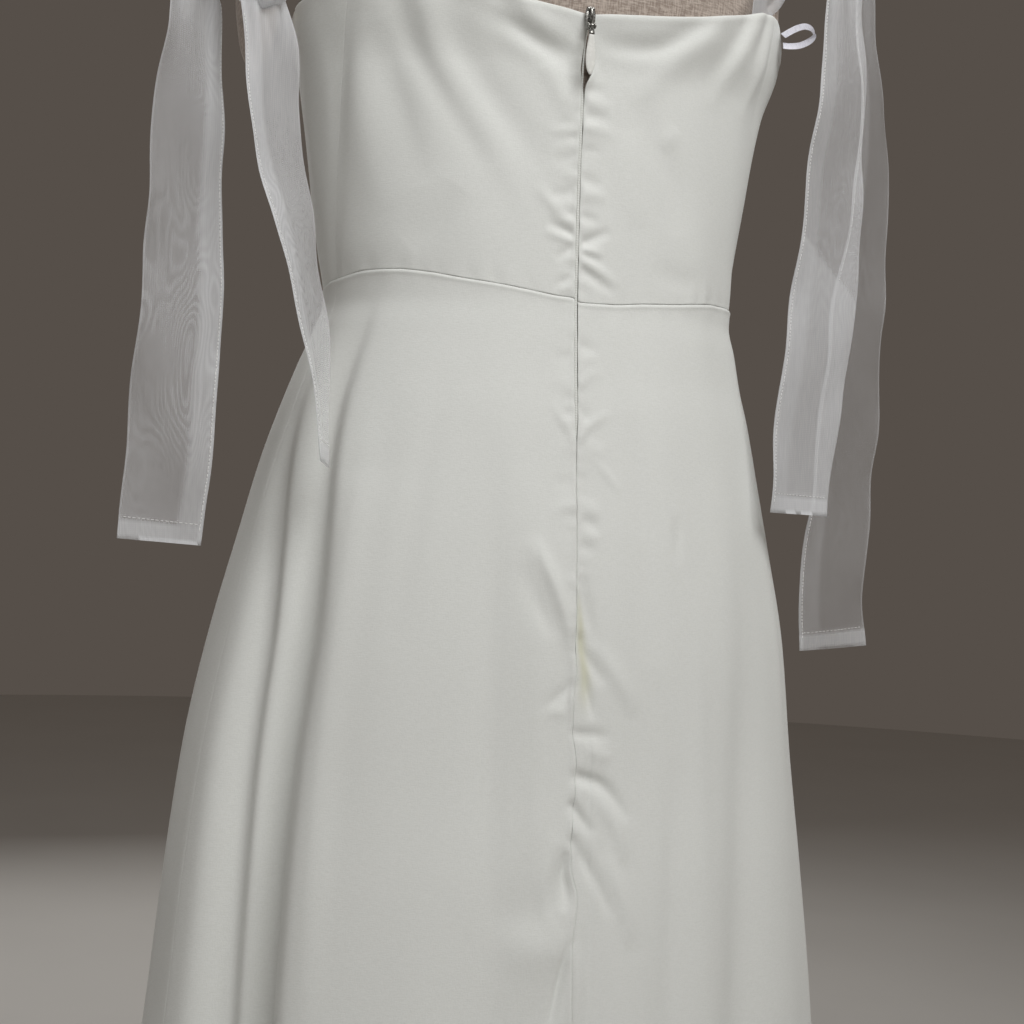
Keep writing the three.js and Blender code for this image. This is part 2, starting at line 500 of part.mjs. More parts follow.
// A band: each section has a middle, a unit width direction and a width, or the
// points of its two faces where it lies on the cloth. A normal that is given keeps
// its side along the band.
const BAND_STEPS = [-1, -0.5, 0, 0.5, 1];
function bandGeometry(sections, wall) {
  const outer = [], inner = [];
  let facing = null;
  sections.forEach((section, k) => {
    if (section.faces) {
      outer.push(section.faces.outer);
      inner.push(section.faces.inner);
      facing = section.normal;
      return;
    }
    const before = sections[Math.max(0, k - 1)].middle, after = sections[Math.min(sections.length - 1, k + 1)].middle;
    const along = after.clone().sub(before).normalize();
    const across = section.across.clone().addScaledVector(along, -section.across.dot(along)).normalize();
    const normal = new THREE.Vector3().crossVectors(along, across).normalize();
    if (facing && normal.dot(facing) < 0) normal.negate();
    facing = normal;
    const side = (s, out) => section.middle.clone()
      .addScaledVector(across, s * section.width / 2).addScaledVector(normal, out * wall / 2);
    outer.push(BAND_STEPS.map((s) => side(s, 1)));
    inner.push(BAND_STEPS.map((s) => side(s, -1)));
  });
  return wallGeometry(outer, inner);
}
// The direction that each tail's shown width is measured along, in degrees.
const TAIL_FACING = { leftOuter: -7, leftInner: -11, rightFront: -28, rightBack: -29 };
function tailSections(rows, gather, facing) {
  return rows.map((row, k) => {
    const width = TIE_WIDTH * Math.min(1, gather + (1 - gather) * k / 4);
    const turn = rad(facing) + Math.acos(Math.min(1, row.seen / width));
    return {
      middle: new THREE.Vector3(row.x, row.y, WAIST_Z + row.dz),
      across: new THREE.Vector3(Math.cos(turn), Math.sin(turn), 0),
      width,
    };
  });
}
function clearOfKnot(geometry, knot) {
  return fromSolid(toSolid(geometry).subtract(toSolid(ellipsoid(knot, SEAM_GAP, 12, 8))));
}
addPiece('knot_left', ellipsoid(KNOT_LEFT, 0, 12, 8), organza());
addPiece('knot_right', ellipsoid(KNOT_RIGHT, 0, 12, 8), organza());
addPiece('tail_left_outer', clearOfKnot(bandGeometry(tailSections(TAIL_LEFT_OUTER, 0.45, TAIL_FACING.leftOuter), TIE_WALL), KNOT_LEFT), organza());
addPiece('tail_left_inner', clearOfKnot(bandGeometry(tailSections(TAIL_LEFT_INNER, 0.6, TAIL_FACING.leftInner), TIE_WALL), KNOT_LEFT), organza());
addPiece('tail_right_front', clearOfKnot(bandGeometry(tailSections(TAIL_RIGHT_FRONT, 0.5, TAIL_FACING.rightFront), TIE_WALL), KNOT_RIGHT), organza());
addPiece('tail_right_back', clearOfKnot(bandGeometry(tailSections(TAIL_RIGHT_BACK, 0.5, TAIL_FACING.rightBack), TIE_WALL), KNOT_RIGHT), organza());

// Straps start inside the top edge of the bodice and run to the knot.
function strapSections(foot, side, rows) {
  const phi = side * foot.phi, sections = [];
  const inside = -CLOTH_WALL - 1.0 - TIE_WALL / 2;
  const low = topEdge(phi) - 14, high = topEdge(phi) + 5;
  for (const dz of spread(low, high, 3)) {
    const half = angleFor(foot.w / 2, phi, dz);
    const at = (s, out) => gownPoint(phi + side * s * half, dz, inside + out * TIE_WALL / 2);
    const middle = gownPoint(phi, dz, inside);
    sections.push({
      middle,
      across: at(1, 0).sub(at(-1, 0)).normalize(),
      normal: gownPoint(phi, dz, 1).sub(gownPoint(phi, dz, -1)).normalize(),
      faces: { outer: BAND_STEPS.map((s) => at(s, 1)), inner: BAND_STEPS.map((s) => at(s, -1)) },
    });
  }
  const foremost = sections[sections.length - 1];
  let across = foremost.across;
  rows.forEach((row, k) => {
    const before = k ? rows[k - 1] : { x: foremost.middle.x, y: foremost.middle.y, dz: foremost.middle.z - WAIST_Z };
    const run = new THREE.Vector3(row.x - before.x, row.y - before.y, row.dz - before.dz).normalize();
    if (row.cx !== undefined) across = new THREE.Vector3(side * row.cx, row.cy, row.cz);
    across = across.clone().addScaledVector(run, -across.dot(run)).normalize();
    sections.push({ middle: new THREE.Vector3(row.x, row.y, WAIST_Z + row.dz), across, width: row.w });
  });
  return sections;
}
addPiece('strap_back_left', clearOfKnot(bandGeometry(strapSections(STRAP_FOOT_BACK, 1, STRAP_BACK_LEFT), TIE_WALL), KNOT_LEFT), organza());
addPiece('strap_back_right', clearOfKnot(bandGeometry(strapSections(STRAP_FOOT_BACK, -1, STRAP_BACK_RIGHT), TIE_WALL), KNOT_RIGHT), organza());
addPiece('strap_front_left', clearOfKnot(bandGeometry(strapSections(STRAP_FOOT_FRONT, 1, STRAP_FRONT_LEFT), TIE_WALL), KNOT_LEFT), organza());
addPiece('strap_front_right', clearOfKnot(bandGeometry(strapSections(STRAP_FOOT_FRONT, -1, STRAP_FRONT_RIGHT), TIE_WALL), KNOT_RIGHT), organza());

// Hanger loop: a satin ribbon folded on itself, sewn at the side seam.
function hangerLoop() {
  const root = bodyPoint(LOOP.phi, LOOP.dz);
  const reach = new THREE.Vector3(root.x, root.y, 0).normalize().lerp(new THREE.Vector3(0.951, -0.309, 0), 0.7).normalize();
  const across = new THREE.Vector3(-reach.y, reach.x, 0).multiplyScalar(0.9).add(new THREE.Vector3(0, 0, 0.42)).normalize();
  const sections = LOOP_PATH.map((row) => ({
    middle: root.clone().addScaledVector(reach, row.out + 2.2).add(new THREE.Vector3(0, 0, row.up)),
    across, width: LOOP.width,
  }));
  return bandGeometry(sections, LOOP.wall);
}
addPiece('hanger_loop', hangerLoop(), satin());

// ---------------------------------------------------------------- dress form
function torsoRing(row, count) {
  return Array.from({ length: count }, (_, k) => {
    const s = Math.sin(2 * Math.PI * k / count), c = Math.cos(2 * Math.PI * k / count);
    return new THREE.Vector3(-row.half * s, -(c >= 0 ? row.back : row.front) * c, WAIST_Z + row.dz);
  });
}
const torso = toSolid(ringGeometry(TORSO_SECTIONS.map((row) => torsoRing(row, 32))))
  .add(toSolid(ellipsoid(SHOULDER, 0, 24, 12)))
  .add(toSolid(ellipsoid(ARM_CAP_LEFT, 0, 12, 10)))
  .add(toSolid(ellipsoid(ARM_CAP_RIGHT, 0, 12, 10)));
addPiece('form_torso', fromSolid(torso), linen());

const capProfile = [
  [0, 0], [56, 0], [58, 3], [58, 8], [52, 12], [30, 17], [12, 20], [12, 26], [9, 30], [0, 32],
].map(([r, z]) => new THREE.Vector2(r, z));
const neckCap = new THREE.LatheGeometry(capProfile, 28);
neckCap.rotateX(Math.PI / 2);
neckCap.translate(0, 1.5, WAIST_Z + TORSO_TOP_DZ + SEAM_GAP);
addPiece('form_neck_cap', neckCap, blackWood());

const poleBottom = BASE_HEIGHT + 22 + SEAM_GAP;
const poleTop = WAIST_Z + TORSO_BOTTOM_DZ - SEAM_GAP;
const pole = new THREE.CylinderGeometry(POLE_RADIUS, POLE_RADIUS, poleTop - poleBottom, 20);
pole.rotateX(Math.PI / 2);
pole.translate(0, 0, (poleTop + poleBottom) / 2);
addPiece('form_pole', pole, blackWood());

const baseProfile = [
  [0, 0], [BASE_RADIUS - 2, 0], [BASE_RADIUS, 2], [BASE_RADIUS, 8], [BASE_RADIUS - 8, 12], [60, BASE_HEIGHT],
  [34, BASE_HEIGHT + 3], [27, BASE_HEIGHT + 8], [25, BASE_HEIGHT + 22], [0, BASE_HEIGHT + 22],
].map(([r, z]) => new THREE.Vector2(r, z));
const base = new THREE.LatheGeometry(baseProfile, 40);
base.rotateX(Math.PI / 2);
addPiece('form_base', base, blackWood());

export default gown;
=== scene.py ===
# Wedding gown on a dress form: the looks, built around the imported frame.
# Lengths in the tables are millimetres and are turned into metres when a mesh is made.
# phi is the angle round the body in degrees, 0 at the centre back and positive towards -X.
# dz is the height above the waist seam.
import json
import math

import bmesh
import bpy
import numpy as np
from mathutils import Matrix, Vector

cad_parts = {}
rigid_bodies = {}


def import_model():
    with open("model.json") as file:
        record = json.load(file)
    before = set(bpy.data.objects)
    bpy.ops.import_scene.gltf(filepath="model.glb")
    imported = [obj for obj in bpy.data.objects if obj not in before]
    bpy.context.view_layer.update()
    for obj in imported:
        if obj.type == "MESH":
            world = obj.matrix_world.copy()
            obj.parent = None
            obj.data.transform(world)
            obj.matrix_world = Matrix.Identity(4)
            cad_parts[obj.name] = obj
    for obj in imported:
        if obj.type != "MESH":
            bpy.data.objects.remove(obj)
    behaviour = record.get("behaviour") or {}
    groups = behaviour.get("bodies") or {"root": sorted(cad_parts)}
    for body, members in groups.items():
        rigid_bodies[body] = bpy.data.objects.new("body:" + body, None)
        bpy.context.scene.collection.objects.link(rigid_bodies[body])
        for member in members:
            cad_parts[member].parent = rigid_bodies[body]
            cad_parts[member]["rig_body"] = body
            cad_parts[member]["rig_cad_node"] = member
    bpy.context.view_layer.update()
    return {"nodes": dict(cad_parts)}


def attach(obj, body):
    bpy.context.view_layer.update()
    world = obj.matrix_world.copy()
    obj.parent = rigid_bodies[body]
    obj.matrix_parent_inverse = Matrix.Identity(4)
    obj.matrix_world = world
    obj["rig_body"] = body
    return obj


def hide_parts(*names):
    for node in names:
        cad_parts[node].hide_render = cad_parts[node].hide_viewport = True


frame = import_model()
MM = 0.001

# ------------------------------------------------------------------ sizes
WAIST_Z = 1060.0
HEM_DZ = -1045.0
WALL = 0.9
SEAM_GAP = 0.3
TUCK = 1.1              # how far the bodice runs down behind the top of the skirt
SLIT = 0.03             # half of the space left between two pieces where they are sewn
ZIP_TOP, ZIP_END = 157.5, -194.0
ZIP_HALF_OPENING = 1.2
TIE_WIDTH = 46.0
TORSO_BOTTOM_DZ, TORSO_TOP_DZ = -205.0, 338.0
BASE_RADIUS, BASE_HEIGHT, POLE_RADIUS = 150.0, 16.0, 16.0

# dz, half width left, half width right, depth back, depth front
SECTIONS = np.array([
    [-1045, 276, 262, 214, 262], [-800, 250, 235, 180, 222], [-600, 230, 214, 157, 190],
    [-424, 212, 200, 139, 162], [-324, 203, 188, 128, 147], [-260, 195, 179.5, 119, 136],
    [-189, 181, 171, 113, 124], [-136, 168, 160, 107, 115], [-94, 157, 150.5, 101, 108],
    [-58, 145, 142, 96, 101], [-39, 138, 136.5, 93, 98], [-16, 129, 131.5, 90, 94],
    [0, 124, 127.5, 88, 92], [32, 129, 129, 86, 96], [80, 136, 136.5, 84, 107],
    [129, 143, 144, 84, 121], [160, 148, 154, 89, 127], [190, 150, 158, 92, 125],
    [230, 150, 158, 93, 118]], float)

# Skirt folds: angle of the middle and depth at four heights, half width on the side of
# smaller phi and of larger phi, in degrees.
FOLD_HEIGHTS = [-1045, -430, -200, -60]
SKIRT_FOLDS = [
    ([46.5, 51.2, 51.9, 58.9], [-36, -24, -15, -4], 3.3, 6.6),
    ([55, 60.3, 63.2, 75], [-24, -16, -10, -1], 3.1, 5),
    ([11, 12.5, 15, 22], [-15, -4, -1, 0], 7.5, 7.5),
    ([-27, -33, -42.5, -50], [-18, -7, -2.5, 0], 7.5, 5.5),
    ([-14, -17, -18, -18], [-12, -2.5, 0, 0], 4.5, 4.5),
    ([-90, -94, -93, -90], [-25, -12, -5, 0], 6.5, 6.5),
    ([102, 104, 108, 112], [-24, -13, -5, 0], 7, 7),
    ([136, 138, 141, 142], [-22, -11, -4, 0], 7.5, 7.5),
    ([168, 170, 172, 174], [-22, -10, -3, 0], 8, 8),
    ([-148, -149, -151, -152], [-24, -12, -4, 0], 7.5, 7.5),
    ([-120, -119, -119, -120], [-23, -12, -5, 0], 7, 7),
]
WAIST_SEAM = [(-180, 4), (-140, 5), (-100, 8), (-76, 10.5), (-50, 9.5), (-40, 7.5), (-30, 5), (-20, 3), (-10, 0.6),
              (-1, 0), (1, 2.4), (5, 3), (10, 4.5), (20, 7.5), (30, 10), (40, 13), (50, 14.5), (60, 14.2), (76, 11),
              (100, 8), (140, 5), (180, 4)]
TOP_EDGE = [(0, 160), (5, 162), (10, 163.5), (16, 165.5), (28, 171), (41, 179), (50, 185), (57, 187.5), (61, 187),
            (65, 182), (70, 175), (80, 169), (100, 168), (115, 176), (128, 194), (136, 209), (141, 212), (148, 209),
            (160, 198), (172, 190), (180, 188)]
SIDE_SEAM = [(-1045, 74), (-300, 75), (-60, 78), (0, 78.5), (16, 77), (65, 70.5), (109, 65.5), (136, 62.5),
             (162, 60), (195, 58)]

TAIL_LEFT_OUTER = [(172, -188, -69, 3), (170, -199, -66, 6), (161, -208, -63, 14), (148, -211, -62, 26),
                   (128, -212, -62, 30), (100, -213, -62, 35), (60, -213, -62, 38), (20, -213, -62, 40),
                   (-20, -212, -62, 43), (-60, -215, -62, 45), (-100, -216, -62, 45), (-142, -219, -62, 43)]
TAIL_LEFT_INNER = [(160, -180, -71, 22), (120, -172, -71, 27), (90, -169, -72, 27), (60, -164, -73, 24),
                   (30, -157, -76, 22), (0, -150, -80, 17), (-30, -144, -85, 14), (-62, -141, -89, 9),
                   (-97, -138, -92, 3)]
TAIL_RIGHT_FRONT = [(238, 178, -60, 16), (215, 171, -66, 20), (180, 171, -66, 24), (150, 172, -66, 27),
                    (110, 170, -66, 30), (70, 169, -66, 35), (30, 166, -66, 37), (-10, 163, -66, 39),
                    (-60, 157, -66, 36), (-112, 155, -66, 34)]
TAIL_RIGHT_BACK = [(238, 189.5, -48, 13), (215, 200, -38, 12), (185, 204, -34, 13), (150, 210, -34, 15),
                   (110, 212.6, -34, 19), (60, 210.5, -34, 26), (10, 206, -34, 32), (-50, 203, -34, 36),
                   (-110, 200, -34, 37), (-150, 196, -34, 39), (-194, 199, -34, 40)]
KNOT_LEFT = (-180, -70, 166, 19, 13, 23)
KNOT_RIGHT = (184, -56, 242, 17, 13, 19)
STRAP_BACK_RIGHT = [(131, -51, 204, 30), (137, -54, 221, 25), (152, -56, 235, 21), (170, -57, 241, 18),
                    (184, -56, 242, 16)]
STRAP_BACK_LEFT = [(-128, -52, 202, 30), (-137, -57, 212, 25), (-152, -63, 209, 21), (-168, -68, 192, 18),
                   (-178, -70, 172, 16)]
STRAP_FRONT_RIGHT = [(108, 87, 232, 32, 0.88, 0.4, 0.1), (124, 74, 252, 29, 0.92, 0.3, 0.2),
                     (141, 50, 266, 27, 0.94, 0.1, 0.3), (154, 20, 269, 26, 0.94, 0, 0.34),
                     (168, -12, 266, 23, 0.94, -0.1, 0.34), (179, -38, 256, 19, 0.9, -0.3, 0.3),
                     (184, -56, 242, 16, 0.9, -0.4, 0.2)]
STRAP_FRONT_LEFT = [(-108, 87, 232, 32, 0.88, 0.4, 0.1), (-124, 74, 252, 29, 0.92, 0.3, 0.2),
                    (-141, 50, 266, 27, 0.94, 0.1, 0.3), (-154, 20, 269, 26, 0.94, 0, 0.34),
                    (-169, -12, 264, 24, 0.94, -0.1, 0.34), (-181, -42, 243, 21, 0.94, -0.2, 0.2),
                    (-185, -60, 208, 18, 0.95, -0.3, 0), (-181, -70, 170, 16, 0.95, -0.3, 0)]
STRAP_FOOT_BACK = (52, 25)
STRAP_FOOT_FRONT = (141, 36)
LOOP_PATH = [(0.5, 2.6), (4.5, 5.2), (9, 7.6), (13.5, 8.8), (17, 7.6), (18.8, 4.2), (16.6, 0.6), (11, -2.4), (5, -3.2), (0.5, -3.0)]
LOOP_PHI, LOOP_DZ, LOOP_WIDTH, LOOP_WALL = -63.5, 176, 6.0, 0.8


# ------------------------------------------------------------------ tables and surface
def pchip(xs, ys, x):
    xs, ys = np.asarray(xs, float), np.asarray(ys, float)
    x = np.clip(np.asarray(x, float), xs[0], xs[-1])
    h = np.diff(xs)
    d = np.diff(ys) / h
    m = np.zeros_like(ys)
    m[0], m[-1] = d[0], d[-1]
    for i in range(1, len(xs) - 1):
        if d[i - 1] * d[i] > 0:
            w1, w2 = 2 * h[i] + h[i - 1], h[i] + 2 * h[i - 1]
            m[i] = (w1 + w2) / (w1 / d[i - 1] + w2 / d[i])
    k = np.clip(np.searchsorted(xs, x, side="right") - 1, 0, len(xs) - 2)
    t = (x - xs[k]) / h[k]
    return ((1 + 2 * t) * (1 - t) ** 2 * ys[k] + t * (1 - t) ** 2 * h[k] * m[k]
            + t * t * (3 - 2 * t) * ys[k + 1] + t * t * (t - 1) * h[k] * m[k + 1])


def table(rows, x):
    rows = np.array(rows, float)
    return pchip(rows[:, 0], rows[:, 1], x)


def wrap(phi):
    return (np.asarray(phi, float) + 180.0) % 360.0 - 180.0


def waist_seam(phi):
    return table(WAIST_SEAM, wrap(phi))


def top_edge(phi):
    return table(TOP_EDGE, np.abs(wrap(phi)))


def side_seam(dz):
    return table(SIDE_SEAM, dz)


def half_axes(phi, dz):
    s, c = np.sin(np.radians(phi)), np.cos(np.radians(phi))
    left, right, back, front = (pchip(SECTIONS[:, 0], SECTIONS[:, i], dz) for i in (1, 2, 3, 4))
    return np.where(s >= 0, left, right), np.where(c >= 0, back, front), s, c


def fold_depth(phi, dz):
    total = np.zeros(np.broadcast(phi, dz).shape)
    start = np.clip(-dz / 60.0, 0, 1)
    for middles, depths, low, high in SKIRT_FOLDS:
        off = wrap(phi - pchip(FOLD_HEIGHTS, middles, dz))
        w = np.where(off < 0, low, high)
        total = total + pchip(FOLD_HEIGHTS, depths, dz) * start * np.exp(-(off / w) ** 2)
    return total


def gown(phi, dz, out=0.0):
    """Point on the gown's surface, moved out along the level normal of the plain body."""
    phi, dz = np.broadcast_arrays(np.asarray(phi, float), np.asarray(dz, float))
    a, b, s, c = half_axes(phi, dz)
    nx, ny = -s / a, -c / b
    n = np.hypot(nx, ny)
    d = fold_depth(phi, dz) + out
    return np.stack([-a * s + d * nx / n, -b * c + d * ny / n, WAIST_Z + dz], -1)


GAUSS_X, GAUSS_W = np.polynomial.legendre.leggauss(8)


def arc(phi, dz):
    """Signed distance round the plain body from the centre back, mm."""
    phi, dz = np.broadcast_arrays(np.asarray(phi, float), np.asarray(dz, float))
    left, right, back, front = (pchip(SECTIONS[:, 0], SECTIONS[:, i], dz) for i in (1, 2, 3, 4))
    a = np.where(phi >= 0, left, right)
    total = np.zeros(phi.shape)
    r = np.radians(phi)
    near = np.clip(r, -math.pi / 2, math.pi / 2)
    for x, w in zip(GAUSS_X, GAUSS_W):
        t = near * (x + 1) / 2
        total += w * np.hypot(a * np.cos(t), back * np.sin(t)) * near / 2
        far = r - near
        t = near + far * (x + 1) / 2
        total += w * np.hypot(a * np.cos(t), front * np.sin(t)) * far / 2
    return total


def ripple(u, v, seed, count, longest, shortest, up=1.0):
    """Sum of seeded sine waves of about unit size; up stretches them upwards."""
    rng = np.random.default_rng(seed)
    total = np.zeros(np.broadcast(u, v).shape)
    for _ in range(count):
        length = shortest * (longest / shortest) ** rng.random()
        turn, phase = rng.random() * 2 * math.pi, rng.random() * 2 * math.pi
        k = 2 * math.pi / length
        total += np.sin(k * (u * math.cos(turn) + v * math.sin(turn) / up) + phase)
    return total / math.sqrt(count / 2)


def smooth_line(points, steps=6):
    p = np.array(points, float)
    if len(p) == 2:
        t = np.linspace(0, 1, 5)[:, None]
        return p[0] * (1 - t) + p[1] * t
    q = np.vstack([2 * p[0] - p[1], p, 2 * p[-1] - p[-2]])
    out = []
    for i in range(1, len(q) - 2):
        a, b, c, d = q[i - 1], q[i], q[i + 1], q[i + 2]
        for t in np.linspace(0, 1, steps, endpoint=False):
            out.append(0.5 * (2 * b + (c - a) * t + (2 * a - 5 * b + 4 * c - d) * t * t + (3 * b - a - 3 * c + d) * t ** 3))
    out.append(p[-1])
    return np.array(out)


def creases(u, v, lines):
    """Soft ridges (depth above 0) and troughs (below 0) along lines drawn on the cloth.
    A line is (depth, width on the larger-phi side, width on the other, ends, [(phi, dz), ...]),
    drawn from top to bottom or from the zip outward. ends: b = fades at both, s = fades only at
    its last point, f = full at both."""
    total = np.zeros(u.shape)
    for depth, wide_left, wide_right, ends, points in lines:
        path = smooth_line(points)
        path = np.stack([arc(path[:, 0], path[:, 1]), path[:, 1]], -1)
        reach = 2.6 * max(wide_left, wide_right)
        low, high = path.min(0) - reach, path.max(0) + reach
        near = (u > low[0]) & (u < high[0]) & (v > low[1]) & (v < high[1])
        if not near.any():
            continue
        x, y = u[near][:, None], v[near][:, None]
        a, d = path[:-1], np.diff(path, axis=0)
        length = np.hypot(d[:, 0], d[:, 1])
        t = np.clip(((x - a[:, 0]) * d[:, 0] + (y - a[:, 1]) * d[:, 1]) / length ** 2, 0, 1)
        dx, dy = x - (a[:, 0] + t * d[:, 0]), y - (a[:, 1] + t * d[:, 1])
        far = dx * dx + dy * dy
        k = far.argmin(1)
        row = np.arange(len(k))
        side = d[k, 0] * dy[row, k] - d[k, 1] * dx[row, k]
        along = (np.concatenate([[0], np.cumsum(length)])[k] + t[row, k] * length[k]) / length.sum()
        if ends == "b":
            fade = np.clip(np.sin(math.pi * along), 0, 1) ** 0.8
        elif ends == "s":
            fade = np.clip(np.cos(math.pi / 2 * along), 0, 1) ** 0.8
        else:
            fade = 1.0
        w = np.where(side > 0, wide_left, wide_right)
        total[near] += depth * fade * np.exp(-far[row, k] / w ** 2)
    return total


# ------------------------------------------------------------------ creases, read off the gown
CREASE_SCALE = 1.5
BODICE_CREASES = [
    # left back panel
    (1.25, 8, 11, "s", [(40.5, 176), (37, 158), (34.5, 133), (28, 105), (22.5, 89), (15, 60), (11, 38)]),
    (-1.0, 8, 8, "b", [(48, 182), (45, 165), (42, 145), (35, 118), (29, 98), (22, 70)]),
    (1.3, 7, 6, "s", [(27, 170), (23, 157), (17, 146), (10, 133), (4, 122)]),
    (-1.9, 6.5, 5.5, "b", [(28, 166), (21.5, 154), (15, 147), (9.5, 141), (4.5, 137), (1.5, 134)]),
    (-0.9, 9, 9, "b", [(33, 160), (28, 134), (20, 107), (14.5, 90), (8, 72)]),
    (1.0, 6, 6, "s", [(16, 164), (11, 153), (5, 147), (2, 145)]),
    (0.7, 6, 6, "b", [(9, 132), (6, 118), (2, 104)]),
    (-1.0, 11, 9, "b", [(50, 150), (47, 120), (43, 90), (40, 60)]),
    (0.7, 10, 10, "b", [(56, 155), (57, 120), (56, 80), (52, 45)]),
    (-0.6, 10, 10, "b", [(30, 60), (36, 40), (45, 26)]),
    # right back panel
    (-1.7, 7, 5.5, "b", [(-31, 172), (-26, 162), (-22, 155), (-17.5, 149), (-12, 146), (-6, 146), (-2, 149)]),
    (1.2, 7, 8, "s", [(-34, 172), (-31, 162), (-26, 150), (-21, 137), (-16, 127), (-11, 117)]),
    (-1.2, 6.5, 6, "s", [(-44, 182), (-42.5, 172), (-40, 161), (-36, 147), (-31, 132)]),
    (1.1, 5, 7, "s", [(-48, 184), (-45, 166), (-42, 149), (-36, 122)]),
    (-1.0, 5, 5, "s", [(-54, 186), (-52, 172), (-49, 150)]),
    (0.7, 5, 5, "b", [(-57, 180), (-55, 150), (-52, 120)]),
    (-0.6, 8, 8, "b", [(-21, 23), (-32, 19), (-44, 21)]),
    (0.5, 6, 6, "b", [(-26, 106), (-22, 92)]),
    (-0.8, 10, 10, "b", [(-14, 118), (-20, 96), (-27, 72), (-30, 45)]),
    (0.7, 9, 9, "b", [(-11, 100), (-13, 72), (-16, 45)]),
    # along the zip, right
    (-0.51, 3.3, 3.3, "s", [(-0.6, 119), (-6, 119.5)]),
    (0.55, 3.8, 3.8, "s", [(-0.6, 112), (-8, 110)]),
    (-0.55, 3.3, 3.3, "s", [(-0.6, 106), (-7, 103.5)]),
    (0.55, 3.8, 3.8, "s", [(-0.6, 99), (-9, 96)]),
    (-0.46, 3.3, 3.3, "s", [(-0.6, 86), (-6, 85)]),
    (-0.64, 3.3, 3.3, "s", [(-0.6, 69), (-6, 66.5)]),
    (0.64, 3.6, 3.6, "s", [(-0.6, 62), (-8, 60)]),
    (-0.78, 2.9, 2.9, "s", [(-0.6, 49), (-6, 45.5)]),
    (-1.33, 3.1, 3.1, "s", [(-0.6, 31.5), (-3, 35), (-9, 42)]),
    (0.92, 2.7, 2.7, "s", [(-0.6, 30.5), (-7, 27.5)]),
    (-0.83, 2.7, 2.7, "s", [(-0.6, 27.5), (-8, 22.5)]),
    (0.92, 3.2, 3.2, "s", [(-0.6, 24), (-4, 20.5), (-12, 11)]),
    (-1.01, 3.1, 3.1, "s", [(-0.6, 20), (-6, 12.5), (-11, 6.5)]),
    # along the zip, left
    (-0.46, 3.3, 3.3, "s", [(0.6, 100), (7, 98)]),
    (0.41, 3.8, 3.8, "s", [(0.6, 96), (9, 93)]),
    (-0.46, 3.3, 3.3, "s", [(0.6, 92.5), (8, 90)]),
    (-0.51, 3.3, 3.3, "s", [(0.6, 81), (7, 78)]),
    (-0.6, 3.3, 3.3, "s", [(0.6, 61.5), (8, 58.5)]),
    (0.92, 3.8, 3.8, "s", [(0.6, 44), (4, 48), (11, 64)]),
    (-0.64, 3.1, 3.1, "s", [(0.6, 48), (6, 49.5)]),
    (-1.06, 2.8, 2.8, "s", [(0.6, 36.5), (3, 39), (8, 44)]),
    (0.83, 2.7, 2.7, "s", [(0.6, 34), (9, 38.5)]),
    (-0.83, 2.7, 2.7, "s", [(0.6, 31), (6, 23)]),
    (-0.74, 2.7, 2.7, "s", [(0.6, 15), (6, 7)]),
    (0.55, 2.7, 2.7, "s", [(0.6, 11), (5, 5)]),
]
